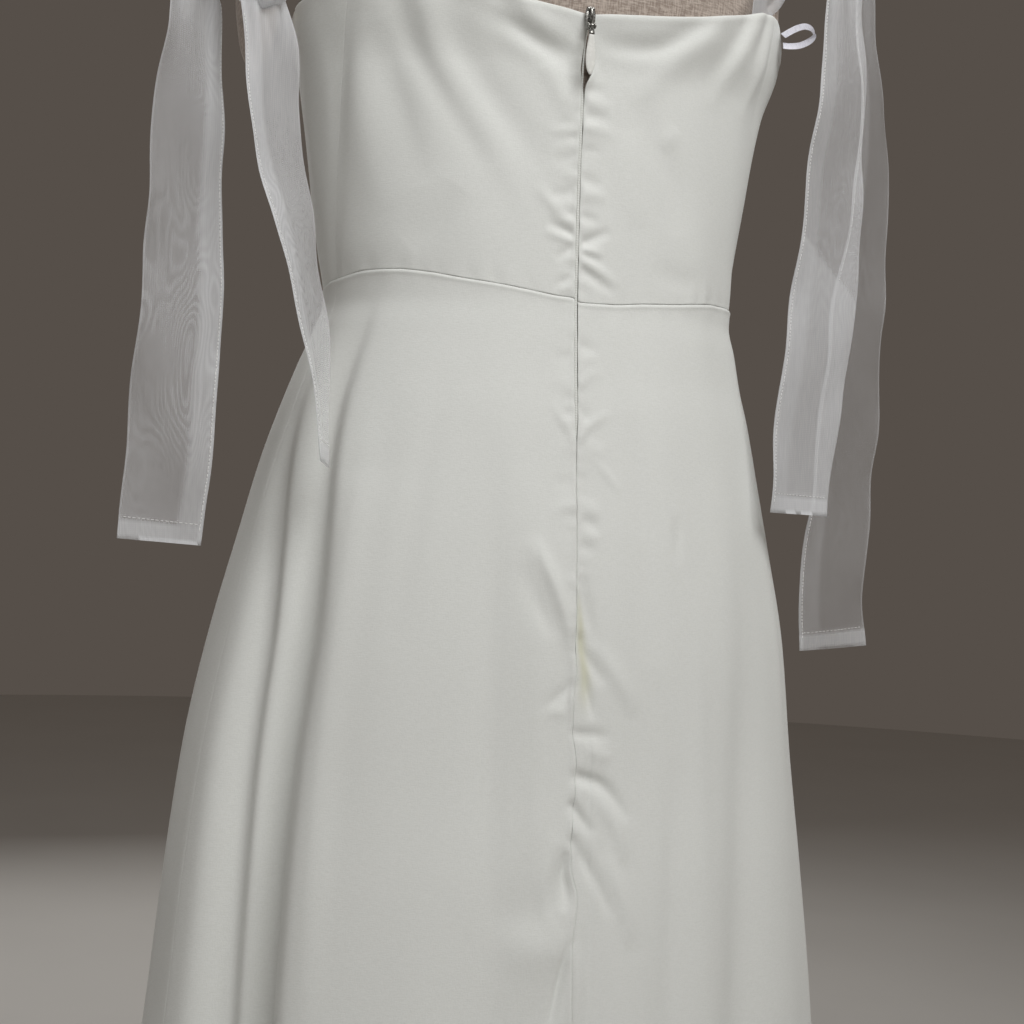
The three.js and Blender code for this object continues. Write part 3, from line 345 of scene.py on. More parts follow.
SKIRT_CREASES = [
    # along the zip
    (-0.43, 3.1, 3.1, "s", [(-0.6, -24), (-6, -27)]),
    (0.43, 3.1, 3.1, "s", [(-0.6, -33), (-6, -30.5)]),
    (0.5, 3.1, 3.1, "s", [(-0.6, -45), (-3, -41), (-7, -37)]),
    (-0.36, 3.1, 3.1, "s", [(0.6, -30), (6, -33)]),
    (0.36, 3.1, 3.1, "s", [(0.6, -47), (6, -43)]),
    (0.76, 2.8, 2.8, "s", [(-0.6, -76), (-3, -68), (-8.5, -60)]),
    (0.61, 2.8, 2.8, "s", [(0.6, -76), (3, -66), (6, -58)]),
    (-0.58, 2.7, 2.7, "s", [(-0.6, -61), (-4, -66)]),
    (-0.5, 2.7, 2.7, "s", [(0.6, -61), (3.6, -65)]),
    (0.43, 4.1, 4.1, "b", [(-1.5, -79), (-7, -85)]),
    (0.43, 2.4, 2.4, "b", [(-3.4, -86), (-6, -93), (-10, -105)]),
    (0.5, 4.1, 4.1, "b", [(-1, -112), (-5, -118)]),
    (-0.5, 3.5, 3.5, "b", [(-0.6, -120), (-5, -126)]),
    (0.5, 3.8, 3.8, "b", [(-1, -127), (-5, -131)]),
    (-0.5, 3, 3, "s", [(-0.6, -134), (-4, -138)]),
    (-0.36, 3.2, 3.2, "s", [(0.6, -98), (5, -103)]),
    (0.36, 3.5, 3.5, "s", [(0.6, -112), (6, -118)]),
    # the pull at the end of the zip
    (2.09, 4.3, 4.1, "b", [(9, -132), (7, -140), (4, -158), (1.2, -182), (0.3, -198)]),
    (-0.88, 4.6, 4.1, "b", [(10.5, -145), (8, -162), (4.5, -185)]),
    (-1.27, 3.2, 4.3, "b", [(-0.8, -150), (-1.6, -166), (-3.2, -190)]),
    (-1.76, 3.2, 4.3, "s", [(-0.5, -186), (-2.2, -196), (-5.4, -210)]),
    (0.88, 4.7, 5.4, "b", [(-4, -190), (-8, -206), (-12, -226)]),
    (1.46, 1.9, 1.6, "b", [(0.5, -192), (0.45, -206), (0.3, -229)]),
    (-1.46, 1.8, 2.4, "b", [(-1.0, -196), (-1.9, -208), (-3.3, -229)]),
    (-0.85, 3.4, 3.4, "s", [(0.5, -210), (2, -214), (6, -223)]),
    (0.45, 3, 3, "b", [(0.8, -225), (5, -224)]),
    (-1.07, 2.8, 2.8, "s", [(-0.5, -236), (-7, -237.5)]),
    (0.68, 4.1, 4.1, "b", [(-1.5, -244), (-7, -250)]),
    (-1.97, 3.4, 3.6, "s", [(-0.4, -259), (-5.5, -265), (-10, -283)]),
    (0.97, 4.3, 4.9, "b", [(-3.5, -268), (-7.5, -285), (-9, -305)]),
    (-1.97, 2.4, 2.4, "s", [(0.3, -274), (-3.4, -290)]),
    (1.07, 2, 2, "b", [(0.3, -280), (-0.6, -290), (-0.9, -303)]),
    (-1.65, 2.7, 3.4, "s", [(-0.3, -293), (-3, -310), (-6.4, -334)]),
    (0.97, 4.1, 4.6, "b", [(-5.5, -300), (-8.5, -325), (-10, -350)]),
    (-1.97, 3, 2.3, "b", [(0.6, -297), (1.4, -312), (1.8, -329)]),
    (0.88, 4.1, 4.1, "b", [(3, -290), (5, -318), (4, -340)]),
    (-1.71, 2.4, 2, "b", [(0.3, -342), (1.8, -362), (3.8, -391)]),
    (0.88, 3.2, 2.7, "b", [(-0.7, -345), (-0.9, -365), (-0.6, -392)]),
    # seam allowance seen through the cloth
    (-0.42, 0.9, 0.9, "f", [(-2.75, -240), (-2.5, -300), (-2.3, -400), (-2.0, -520), (-1.6, -800), (-1.4, -1040)]),
    (0.25, 1.6, 1.6, "f", [(-3.6, -240), (-3.3, -300), (-3.0, -400), (-2.7, -520), (-2.2, -800), (-1.9, -1040)]),
    # the seam below the view goes on in the same way
    (-1.21, 3, 2.4, "b", [(0.3, -402), (1.6, -425), (3.2, -452)]),
    (-1.21, 2.7, 3.2, "b", [(-0.3, -420), (-2, -440), (-4.4, -470)]),
    (1.03, 4.1, 4.1, "b", [(0.4, -455), (0.2, -480), (0.4, -505)]),
    (-1.13, 3, 3, "b", [(0.4, -505), (1.6, -535), (2.8, -570)]),
    (-1.03, 3.2, 3.2, "b", [(-0.3, -560), (-1.8, -590), (-3.2, -630)]),
    (0.95, 4.1, 4.1, "b", [(0.3, -600), (0.1, -640), (0.3, -690)]),
    (-1.03, 3.5, 3.5, "b", [(0.3, -690), (1.4, -730), (2.2, -780)]),
    (-0.95, 3.8, 3.8, "b", [(-0.3, -790), (-1.5, -830), (-2.4, -880)]),
    (-0.86, 4.1, 4.1, "b", [(0.3, -900), (1.1, -940), (1.7, -990)]),
    # broad soft ones
    (-1.3, 15, 12, "b", [(1.2, -296), (4, -318), (7.5, -330), (13, -334)]),
    (0.9, 12, 12, "b", [(2, -338), (6, -348), (11, -350)]),
    (-1.0, 9, 9, "b", [(2.2, -352), (4.5, -380), (6.5, -410)]),
    (-0.9, 10, 6, "b", [(20, -70), (17, -100), (15, -180), (13, -300), (12, -420)]),
    (0.8, 8, 12, "b", [(10, -90), (7.5, -180), (6, -300), (6, -420)]),
    (1.0, 6, 9, "b", [(47, -60), (45, -130), (43.5, -220), (42, -340), (41, -430)]),
    (-0.7, 3, 3, "b", [(-24, -116), (-23, -143)]),
    (-0.8, 5, 7, "b", [(-20, -250), (-18.5, -310), (-16.5, -410)]),
    (0.7, 8, 8, "b", [(-27, -150), (-26, -260), (-24, -400)]),
    (-0.8, 9, 9, "b", [(-13, -60), (-15, -120), (-15, -200)]),
    (0.6, 7, 7, "b", [(-58, -60), (-60, -160), (-58, -300)]),
    (-0.6, 7, 7, "b", [(30, -40), (32, -110), (33, -200)]),
]


# ------------------------------------------------------------------ meshes
def make_object(name, verts, faces, materials, smooth=True, face_material=None):
    """A mesh object in metres from points in millimetres and faces of 3 or 4 corners."""
    mesh = bpy.data.meshes.new(name)
    verts = np.ascontiguousarray(np.asarray(verts, float) * MM, np.float32)
    faces = [np.asarray(f, np.int32) for f in (faces if isinstance(faces, list) else [faces]) if len(f)]
    corners = np.concatenate([f.ravel() for f in faces])
    sizes = np.concatenate([np.full(len(f), f.shape[1], np.int32) for f in faces])
    starts = np.concatenate([[0], np.cumsum(sizes)[:-1]]).astype(np.int32)
    mesh.vertices.add(len(verts))
    mesh.vertices.foreach_set("co", verts.ravel())
    mesh.loops.add(len(corners))
    mesh.loops.foreach_set("vertex_index", corners.astype(np.int32))
    mesh.polygons.add(len(sizes))
    mesh.polygons.foreach_set("loop_start", starts)
    if smooth:
        mesh.polygons.foreach_set("use_smooth", np.ones(len(sizes), bool))
    if face_material is not None:
        mesh.polygons.foreach_set("material_index", np.asarray(face_material, np.int32))
    mesh.update(calc_edges=True)
    mesh.validate(verbose=False)
    for m in materials if isinstance(materials, (list, tuple)) else [materials]:
        mesh.materials.append(m)
    o = bpy.data.objects.new(name, mesh)
    bpy.context.scene.collection.objects.link(o)
    return o


def grid_normals(p, reference):
    du, dv = np.gradient(p, axis=1), np.gradient(p, axis=0)
    n = np.cross(du, dv)
    n /= np.maximum(np.linalg.norm(n, axis=-1, keepdims=True), 1e-9)
    if (n * reference).sum() < 0:
        n = -n
    return n


def shell(name, outer, wall, material, reference, rims=(0.1, 0.35, 0.1, 0.1)):
    """A closed thin wall with rounded rims: outer is a grid of points, wall is its thickness inward.
    rims: how far the rim is rounded at the first row, last row, first column and last column."""
    rows, cols = outer.shape[:2]
    n = grid_normals(outer, reference)
    inner = outer - wall * n
    face = outer.copy()
    half = wall / 2
    ring = ([(0, c) for c in range(cols)] + [(r, cols - 1) for r in range(1, rows)]
            + [(rows - 1, c) for c in range(cols - 2, -1, -1)] + [(r, 0) for r in range(rows - 2, 0, -1)])
    ring = np.array(ring)
    rr, cc = ring[:, 0], ring[:, 1]
    back_r, back_c = np.clip(rr, 1, rows - 2), np.clip(cc, 1, cols - 2)
    toward = outer[back_r, back_c] - outer[rr, cc]
    toward /= np.maximum(np.linalg.norm(toward, axis=-1, keepdims=True), 1e-9)
    middle = outer[rr, cc] - half * n[rr, cc]
    pull = np.full(len(ring), 9.0)
    for here, size in ((rr == 0, rims[0]), (rr == rows - 1, rims[1]), (cc == 0, rims[2]), (cc == cols - 1, rims[3])):
        pull[here] = np.minimum(pull[here], size)
    pull = pull[:, None]
    face[rr, cc] = outer[rr, cc] + toward * pull - n[rr, cc] * pull * 0.15
    inner_face = inner.copy()
    inner_face[rr, cc] = inner[rr, cc] + toward * pull + n[rr, cc] * pull * 0.15
    verts = np.concatenate([face.reshape(-1, 3), inner_face.reshape(-1, 3), middle])
    r, c = np.meshgrid(np.arange(rows - 1), np.arange(cols - 1), indexing="ij")
    a = (r * cols + c).ravel()
    b, d, e = a + 1, a + cols + 1, a + cols
    front = np.stack([a, b, d, e], -1)
    off = rows * cols
    rear = np.stack([a, e, d, b], -1) + off
    k = np.arange(len(ring))
    kn = (k + 1) % len(ring)
    o1, o2 = rr * cols + cc, (rr * cols + cc)[kn]
    m1, m2 = 2 * off + k, 2 * off + kn
    rim = np.concatenate([np.stack([o1, m1, m2, o2], -1), np.stack([m1, o1 + off, o2 + off, m2], -1)])
    flip = ((np.cross(outer[0, 1] - outer[0, 0], outer[1, 0] - outer[0, 0])) * n[0, 0]).sum() > 0
    faces = np.concatenate([front, rear, rim])
    if flip:
        pass
    o = make_object(name, verts, faces, material)
    tidy_normals(o)
    return o


def tidy_normals(o):
    bm = bmesh.new()
    bm.from_mesh(o.data)
    bmesh.ops.recalc_face_normals(bm, faces=bm.faces)
    bm.to_mesh(o.data)
    bm.free()


def tube(name, rings, material, cap=True):
    """A closed body from rings of points of equal count, with flat fans at both ends."""
    rings = np.asarray(rings, float)
    rows, n = rings.shape[:2]
    verts = rings.reshape(-1, 3)
    r, c = np.meshgrid(np.arange(rows - 1), np.arange(n), indexing="ij")
    a = (r * n + c).ravel()
    b = (r * n + (c + 1) % n).ravel()
    quads = np.stack([a, b, b + n, a + n], -1)
    tris = np.zeros((0, 3), int)
    if cap:
        verts = np.concatenate([verts, rings[0].mean(0)[None], rings[-1].mean(0)[None]])
        k = np.arange(n)
        first, last = rows * n, rows * n + 1
        tris = np.concatenate([np.stack([np.full(n, first), (k + 1) % n, k], -1),
                               np.stack([np.full(n, last), (rows - 1) * n + k, (rows - 1) * n + (k + 1) % n], -1)])
    o = make_object(name, verts, [quads, tris], material)
    tidy_normals(o)
    return o


def lathe(name, profile, centre, material, segments=96):
    ang = np.linspace(0, 2 * math.pi, segments, endpoint=False)
    rings = [[(centre[0] + r * math.cos(t), centre[1] + r * math.sin(t), centre[2] + z) for t in ang] for r, z in profile]
    return tube(name, rings, material)


def join(name, objects):
    """One object from several, materials kept."""
    bm = bmesh.new()
    mats = []
    for o in objects:
        base = len(bm.faces)
        slots = []
        for m in o.data.materials:
            if m not in mats:
                mats.append(m)
            slots.append(mats.index(m))
        bm.from_mesh(o.data)
        bm.faces.ensure_lookup_table()
        for f in bm.faces[base:]:
            f.material_index = slots[f.material_index]
    mesh = bpy.data.meshes.new(name)
    bm.to_mesh(mesh)
    bm.free()
    for m in mats:
        mesh.materials.append(m)
    for o in objects:
        bpy.data.objects.remove(o)
    made = bpy.data.objects.new(name, mesh)
    bpy.context.scene.collection.objects.link(made)
    return made


def attribute(o, name, values):
    a = o.data.attributes.new(name, "FLOAT", "POINT")
    a.data.foreach_set("value", np.asarray(values, np.float32))


# ------------------------------------------------------------------ materials
class Shader:
    """A node material with short names for what the cloths and metals need."""

    def __init__(self, name):
        self.material = bpy.data.materials.new(name)
        self.material.use_nodes = True
        self.tree = self.material.node_tree
        self.tree.nodes.clear()
        self.out = self.add("ShaderNodeOutputMaterial")
        self.surface = self.add("ShaderNodeBsdfPrincipled")
        self.tree.links.new(self.surface.outputs[0], self.out.inputs["Surface"])
        self.place = self.add("ShaderNodeTexCoord").outputs["Object"]

    def add(self, kind, **props):
        node = self.tree.nodes.new(kind)
        for key, value in props.items():
            setattr(node, key, value)
        return node

    def put(self, socket, value):
        if isinstance(value, bpy.types.NodeSocket):
            self.tree.links.new(value, socket)
        else:
            socket.default_value = value

    def set(self, **values):
        for key, value in values.items():
            self.put(self.surface.inputs[key.replace("_", " ")], value)

    def math(self, operation, a, b=0.0, c=0.0, clamp=False):
        node = self.add("ShaderNodeMath", operation=operation, use_clamp=clamp)
        self.put(node.inputs[0], a)
        self.put(node.inputs[1], b)
        self.put(node.inputs[2], c)
        return node.outputs[0]

    def scaled(self, scale, vector=None, turn=(0, 0, 0)):
        node = self.add("ShaderNodeMapping")
        self.put(node.inputs["Vector"], vector or self.place)
        node.inputs["Scale"].default_value = scale
        node.inputs["Rotation"].default_value = turn
        return node.outputs[0]

    def noise(self, scale, vector=None, detail=2.0, rough=0.5, distortion=0.0):
        node = self.add("ShaderNodeTexNoise")
        self.put(node.inputs["Vector"], vector or self.place)
        node.inputs["Scale"].default_value = scale
        node.inputs["Detail"].default_value = detail
        node.inputs["Roughness"].default_value = rough
        node.inputs["Distortion"].default_value = distortion
        return node.outputs["Fac"]

    def ramp(self, value, low, high, out_low=0.0, out_high=1.0):
        node = self.add("ShaderNodeMapRange", interpolation_type="SMOOTHSTEP")
        self.put(node.inputs["Value"], value)
        node.inputs["From Min"].default_value = low
        node.inputs["From Max"].default_value = high
        node.inputs["To Min"].default_value = out_low
        node.inputs["To Max"].default_value = out_high
        return node.outputs["Result"]

    def mix(self, factor, a, b):
        node = self.add("ShaderNodeMix", data_type="RGBA")
        self.put(node.inputs["Factor"], factor)
        self.put(node.inputs[6], a)
        self.put(node.inputs[7], b)
        return node.outputs[2]

    def bump(self, height, distance, strength=1.0, normal=None):
        node = self.add("ShaderNodeBump")
        node.inputs["Strength"].default_value = strength
        node.inputs["Distance"].default_value = distance
        self.put(node.inputs["Height"], height)
        if normal is not None:
            self.put(node.inputs["Normal"], normal)
        return node.outputs[0]

    def wave(self, axis, period, phase=None):
        """Sine across an axis of the object's own space, from 0 to 1, with that period in metres."""
        split = self.add("ShaderNodeSeparateXYZ")
        self.put(split.inputs[0], self.place)
        value = self.math("MULTIPLY", split.outputs[axis], 2 * math.pi / period)
        if phase is not None:
            value = self.math("ADD", value, phase)
        return self.math("MULTIPLY_ADD", self.math("SINE", value), 0.5, 0.5)


def linear(r, g, b):
    f = lambda v: v / 12.92 if v <= 0.04045 else ((v + 0.055) / 1.055) ** 2.4
    return (f(r / 255), f(g / 255), f(b / 255), 1.0)


def crepe_material():
    s = Shader("crepe")
    warp = s.noise(1.0, s.scaled((1900, 1900, 420)), 1.5, 0.6)
    weft = s.noise(1.0, s.scaled((330, 330, 2100)), 1.5, 0.6)
    grain = s.noise(1500, detail=1.5, rough=0.7)
    weave = s.math("ADD", s.math("MULTIPLY", warp, 0.8), s.math("ADD", s.math("MULTIPLY", weft, 1.1), s.math("MULTIPLY", grain, 0.7)))
    clouds = s.noise(7.0, detail=3, rough=0.55)
    fleck = s.ramp(s.math("MULTIPLY", weave, 0.385), 0.34, 0.66)
    tone = s.mix(clouds, linear(225, 227, 223), linear(230, 232, 229))
    # Painted shade: a geometry attribute marks the seam opening below the zip's end, and there the base colour is
    # pulled towards a darker yellowish grey that stands for the shadow in it.
    painted_opening_shade = s.add("ShaderNodeAttribute", attribute_type="GEOMETRY", attribute_name="painted_opening_shade").outputs["Fac"]
    s.set(Base_Color=s.mix(s.math("MULTIPLY", painted_opening_shade, 0.75), s.mix(fleck, tone, linear(234, 236, 233)), linear(216, 216, 190)))
    s.set(Roughness=s.ramp(grain, 0.3, 0.7, 0.62, 0.78))
    s.set(Normal=s.bump(weave, 0.00010, 0.55))
    s.set(Sheen_Weight=0.18, Sheen_Roughness=0.5, IOR=1.42, Specular_IOR_Level=0.35)
    return s.material


def organza_material():
    s = Shader("organza")
    dense = s.add("ShaderNodeAttribute", attribute_type="GEOMETRY", attribute_name="dense").outputs["Fac"]
    wander = s.noise(1.0, s.scaled((26, 26, 9)), 2.0, 0.5)
    rings = s.math("SINE", s.math("MULTIPLY", wander, 230.0))
    zone = s.ramp(s.noise(9.0, detail=1.0), 0.42, 0.62)
    strength = s.add("ShaderNodeAttribute", attribute_type="GEOMETRY", attribute_name="rings").outputs["Fac"]
    moire = s.math("MULTIPLY", s.math("MULTIPLY", s.math("MULTIPLY_ADD", rings, 0.5, 0.5), zone), strength)
    threads = s.math("MULTIPLY", s.wave(2, 0.0011, s.math("MULTIPLY", wander, 3.0)), s.wave(0, 0.0012))
    slub = s.noise(1.0, s.scaled((900, 900, 60)), 2.0, 0.6)
    alpha = s.math("ADD", s.math("MULTIPLY_ADD", dense, 0.27, 0.115),
                   s.math("ADD", s.math("MULTIPLY", moire, 0.105), s.math("ADD", s.math("MULTIPLY", threads, 0.05), s.math("MULTIPLY", slub, 0.06))),
                   clamp=True)
    s.set(Alpha=alpha)
    s.set(Base_Color=s.mix(slub, linear(226, 228, 232), linear(240, 241, 243)))
    s.set(Roughness=s.ramp(slub, 0.3, 0.7, 0.42, 0.58))
    s.set(Normal=s.bump(s.math("ADD", threads, slub), 0.00008, 0.5))
    s.set(Sheen_Weight=0.2, Sheen_Roughness=0.4, IOR=1.5, Specular_IOR_Level=0.4)
    return s.material


def satin_material():
    s = Shader("satin_ribbon")
    fine = s.noise(1.0, s.scaled((2600, 260, 260)), 1.5, 0.5)
    s.set(Base_Color=s.mix(fine, linear(224, 224, 236), linear(240, 240, 250)))
    s.set(Roughness=s.ramp(fine, 0.3, 0.7, 0.24, 0.36))
    s.set(Normal=s.bump(fine, 0.00004, 0.5))
    s.set(Sheen_Weight=0.2, Specular_IOR_Level=0.6, Anisotropic=0.5)
    return s.material


def thread_material():
    s = Shader("sewing_thread")
    twist = s.noise(3000, detail=1.0)
    s.set(Base_Color=s.mix(twist, linear(232, 232, 230), linear(248, 248, 247)))
    s.set(Roughness=s.ramp(twist, 0.3, 0.7, 0.45, 0.6))
    s.set(Normal=s.bump(twist, 0.00004, 0.5), Sheen_Weight=0.3)
    return s.material


def tape_material():
    s = Shader("zip_tape")
    ribs = s.wave(2, 0.0014)
    fine = s.noise(1800, detail=1.0)
    s.set(Base_Color=s.mix(ribs, linear(218, 220, 215), linear(230, 232, 228)))
    s.set(Roughness=s.ramp(fine, 0.3, 0.7, 0.5, 0.66))
    s.set(Normal=s.bump(s.math("ADD", ribs, s.math("MULTIPLY", fine, 0.4)), 0.0001, 0.6))
    s.set(Specular_IOR_Level=0.4)
    return s.material


def metal_material():
    s = Shader("zip_metal")
    scuff = s.noise(1.0, s.scaled((600, 600, 5000)), 3.0, 0.6)
    cloud = s.noise(900, detail=2.0)
    s.set(Base_Color=s.mix(cloud, linear(120, 119, 115), linear(168, 167, 163)))
    s.set(Metallic=0.95, Roughness=s.ramp(scuff, 0.3, 0.75, 0.2, 0.4))
    s.set(Normal=s.bump(scuff, 0.00002, 0.4))
    return s.material


def enamel_material():
    s = Shader("enamel")
    cloud = s.noise(420, detail=2.0)
    s.set(Base_Color=s.mix(cloud, linear(230, 231, 226), linear(240, 240, 236)))
    s.set(Roughness=s.ramp(cloud, 0.3, 0.7, 0.2, 0.3), Coat_Weight=0.5, Coat_Roughness=0.1)
    s.set(Normal=s.bump(cloud, 0.00003, 0.3), Specular_IOR_Level=0.5)
    return s.material


def linen_material():
    s = Shader("linen")
    warp = s.noise(1.0, s.scaled((1150, 1150, 150)), 2.0, 0.6)
    weft = s.noise(1.0, s.scaled((150, 150, 1150)), 2.0, 0.6)
    weave = s.math("ADD", warp, weft)
    cloud = s.noise(12, detail=3)
    tone = s.mix(s.ramp(weave, 0.75, 1.25), linear(150, 136, 126), linear(206, 194, 184))
    s.set(Base_Color=s.mix(s.math("MULTIPLY", cloud, 0.35), tone, linear(186, 172, 160)))
    s.set(Roughness=s.ramp(warp, 0.3, 0.7, 0.82, 0.94))
    s.set(Normal=s.bump(weave, 0.00025, 0.8), Sheen_Weight=0.15, Specular_IOR_Level=0.25)
    return s.material


def black_wood_material():
    s = Shader("black_wood")
    grain = s.noise(1.0, s.scaled((38, 38, 5)), 4.0, 0.6, 0.6)
    pores = s.noise(1.0, s.scaled((700, 700, 60)), 2.0, 0.6)
    s.set(Base_Color=s.mix(grain, linear(22, 20, 19), linear(44, 40, 37)))
    s.set(Roughness=s.ramp(pores, 0.3, 0.7, 0.34, 0.5), Coat_Weight=0.25, Coat_Roughness=0.25)
    s.set(Normal=s.bump(s.math("ADD", grain, pores), 0.0002, 0.35))
    return s.material


def black_metal_material():
    s = Shader("black_metal")
    orange_peel = s.noise(420, detail=2.0)
    scuff = s.noise(14, detail=5.0, rough=0.7)
    s.set(Base_Color=s.mix(s.ramp(scuff, 0.5, 0.75), linear(26, 25, 25), linear(48, 46, 45)))
    s.set(Roughness=s.ramp(scuff, 0.35, 0.7, 0.38, 0.52), Metallic=0.3)
    s.set(Normal=s.bump(orange_peel, 0.00012, 0.35))
    return s.material


def floor_material():
    s = Shader("studio_floor")
    cloud = s.noise(2.2, detail=3)
    s.set(Base_Color=s.mix(cloud, linear(214, 212, 208), linear(222, 220, 216)))
    s.set(Roughness=s.ramp(cloud, 0.3, 0.7, 0.7, 0.85), Specular_IOR_Level=0.2)
    return s.material


CREPE, ORGANZA, SATIN, THREAD = crepe_material(), organza_material(), satin_material(), thread_material()
TAPE, METAL, ENAMEL, LINEN = tape_material(), metal_material(), enamel_material(), linen_material()
WOOD, IRON = black_wood_material(), black_metal_material()

# ------------------------------------------------------------------ camera
VIEW_TURN, ROLL, DISTANCE, EYE = math.radians(18.0), math.radians(2.5), 1.0, 0.942
FOCUS = 1650.0          # pixels across a picture of 1024
forward = Vector((math.sin(VIEW_TURN), math.cos(VIEW_TURN), 0))
right, up = Vector((math.cos(VIEW_TURN), -math.sin(VIEW_TURN), 0)), Vector((0, 0, 1))
yaw = math.atan(6.0 / FOCUS)
forward, right = forward * math.cos(yaw) - right * math.sin(yaw), right * math.cos(yaw) + forward * math.sin(yaw)
camera_right = right * math.cos(ROLL) + up * math.sin(ROLL)
camera_up = up * math.cos(ROLL) - right * math.sin(ROLL)
camera_data = bpy.data.cameras.new("camera")
camera_data.sensor_width = 36.0
camera_data.lens = 36.0 * FOCUS / 1024
camera_data.clip_start, camera_data.clip_end = 0.05, 60
camera = bpy.data.objects.new("camera", camera_data)
bpy.context.scene.collection.objects.link(camera)
placed = Matrix((camera_right, camera_up, -forward)).transposed().to_4x4()
placed.translation = Vector((-math.sin(VIEW_TURN) * DISTANCE, -math.cos(VIEW_TURN) * DISTANCE, EYE))
camera.matrix_world = placed
bpy.context.scene.camera = camera


# ------------------------------------------------------------------ gown panels
def edge_offset(dz, side):
    """Distance from the centre-back line to a back panel's edge, mm."""
    closed = 0.12 + 0.77 / (1 + np.exp(-(dz + 72) / 2.4)) - np.clip((ZIP_END + 4 - dz) * 0.03, 0, 0.12 - SLIT)
    gape = np.where(dz > 130, np.exp(-((dz - 130) / 11.0) ** 2), np.exp(-((dz - 130) / 6.0) ** 2))
    return closed + gape * (0.9 if side > 0 else 3.7)


def seam_wander(dz):
    """How far the centre-back seam strays sideways below the zip, mm."""
    rows = [(-1045, 0), (-900, 0.8), (-760, -1.0), (-640, 0.9), (-520, -1.3), (-455, 0.9), (-425, -1.7), (-398, 0.2),
            (-380, 1.7), (-352, 1.8), (-322, -1.2), (-307, 1.9), (-292, 2.0), (-270, -0.2), (-252, -0.9), (-234, 1.2),
            (-218, 1.0), (-204, -0.4), (-190, 0.5), (-170, 0), (0, 0)]
    return table(rows, dz)


def surface_detail(phi, dz, lines, seed):
    """The distance round the body, and the creases, mm outward."""
    u = arc(phi, dz)
    return u, CREASE_SCALE * creases(u, dz, lines)


def low_wave(phi, dz):
    """Slow waves round the skirt that grow towards the hem."""
    rng = np.random.default_rng(5)
    total = np.zeros(np.broadcast(phi, dz).shape)
    for n in (5, 7, 8, 11, 13, 17):
        a, b, c = rng.random(3) * 2 * math.pi
        total = total + np.sin(np.radians(phi) * n + a + 0.9 * np.sin(dz / 310.0 + b) + dz / (420.0 + 90 * c)) / math.sqrt(n / 6.0)
    front = np.clip((np.abs(wrap(phi)) - 62) / 45, 0, 1)
    low = np.clip((-dz - 420 + 300 * front) / (600 + 280 * front), 0, 1)
    return (0.8 + 1.1 * front) * low * total


def seam_lip(gap, depth, rise, width=1.0):
    """A rolled edge beside a seam: gap is the distance from the seam."""
    return -depth * np.exp(-(gap / (0.9 * width)) ** 2) + rise * np.exp(-((gap - 2.2 * width) / (1.7 * width)) ** 2)


def waist_lip(gap, skirt):
    """The waist seam: the skirt's edge rolls over in a low ridge, and the bodice meets it a little lower."""
    if skirt:
        return -0.36 * np.exp(-(gap / 0.8) ** 2) + 0.32 * np.exp(-((gap - 1.7) / 1.1) ** 2) + 0.12 * np.exp(-(gap / 6.0) ** 2)
    return -0.2 * np.exp(-(gap / 0.45) ** 2) - 0.2 * np.exp(-(gap / 6.0) ** 2)


def side_seam_shape(gap, skirt):
    """The side seams lie flat; on the bodice the cloth dips softly on both sides of them."""
    if skirt:
        return -0.06 * np.exp(-(gap / 0.8) ** 2)
    return -1.1 * np.exp(-(gap / 8.0) ** 2)


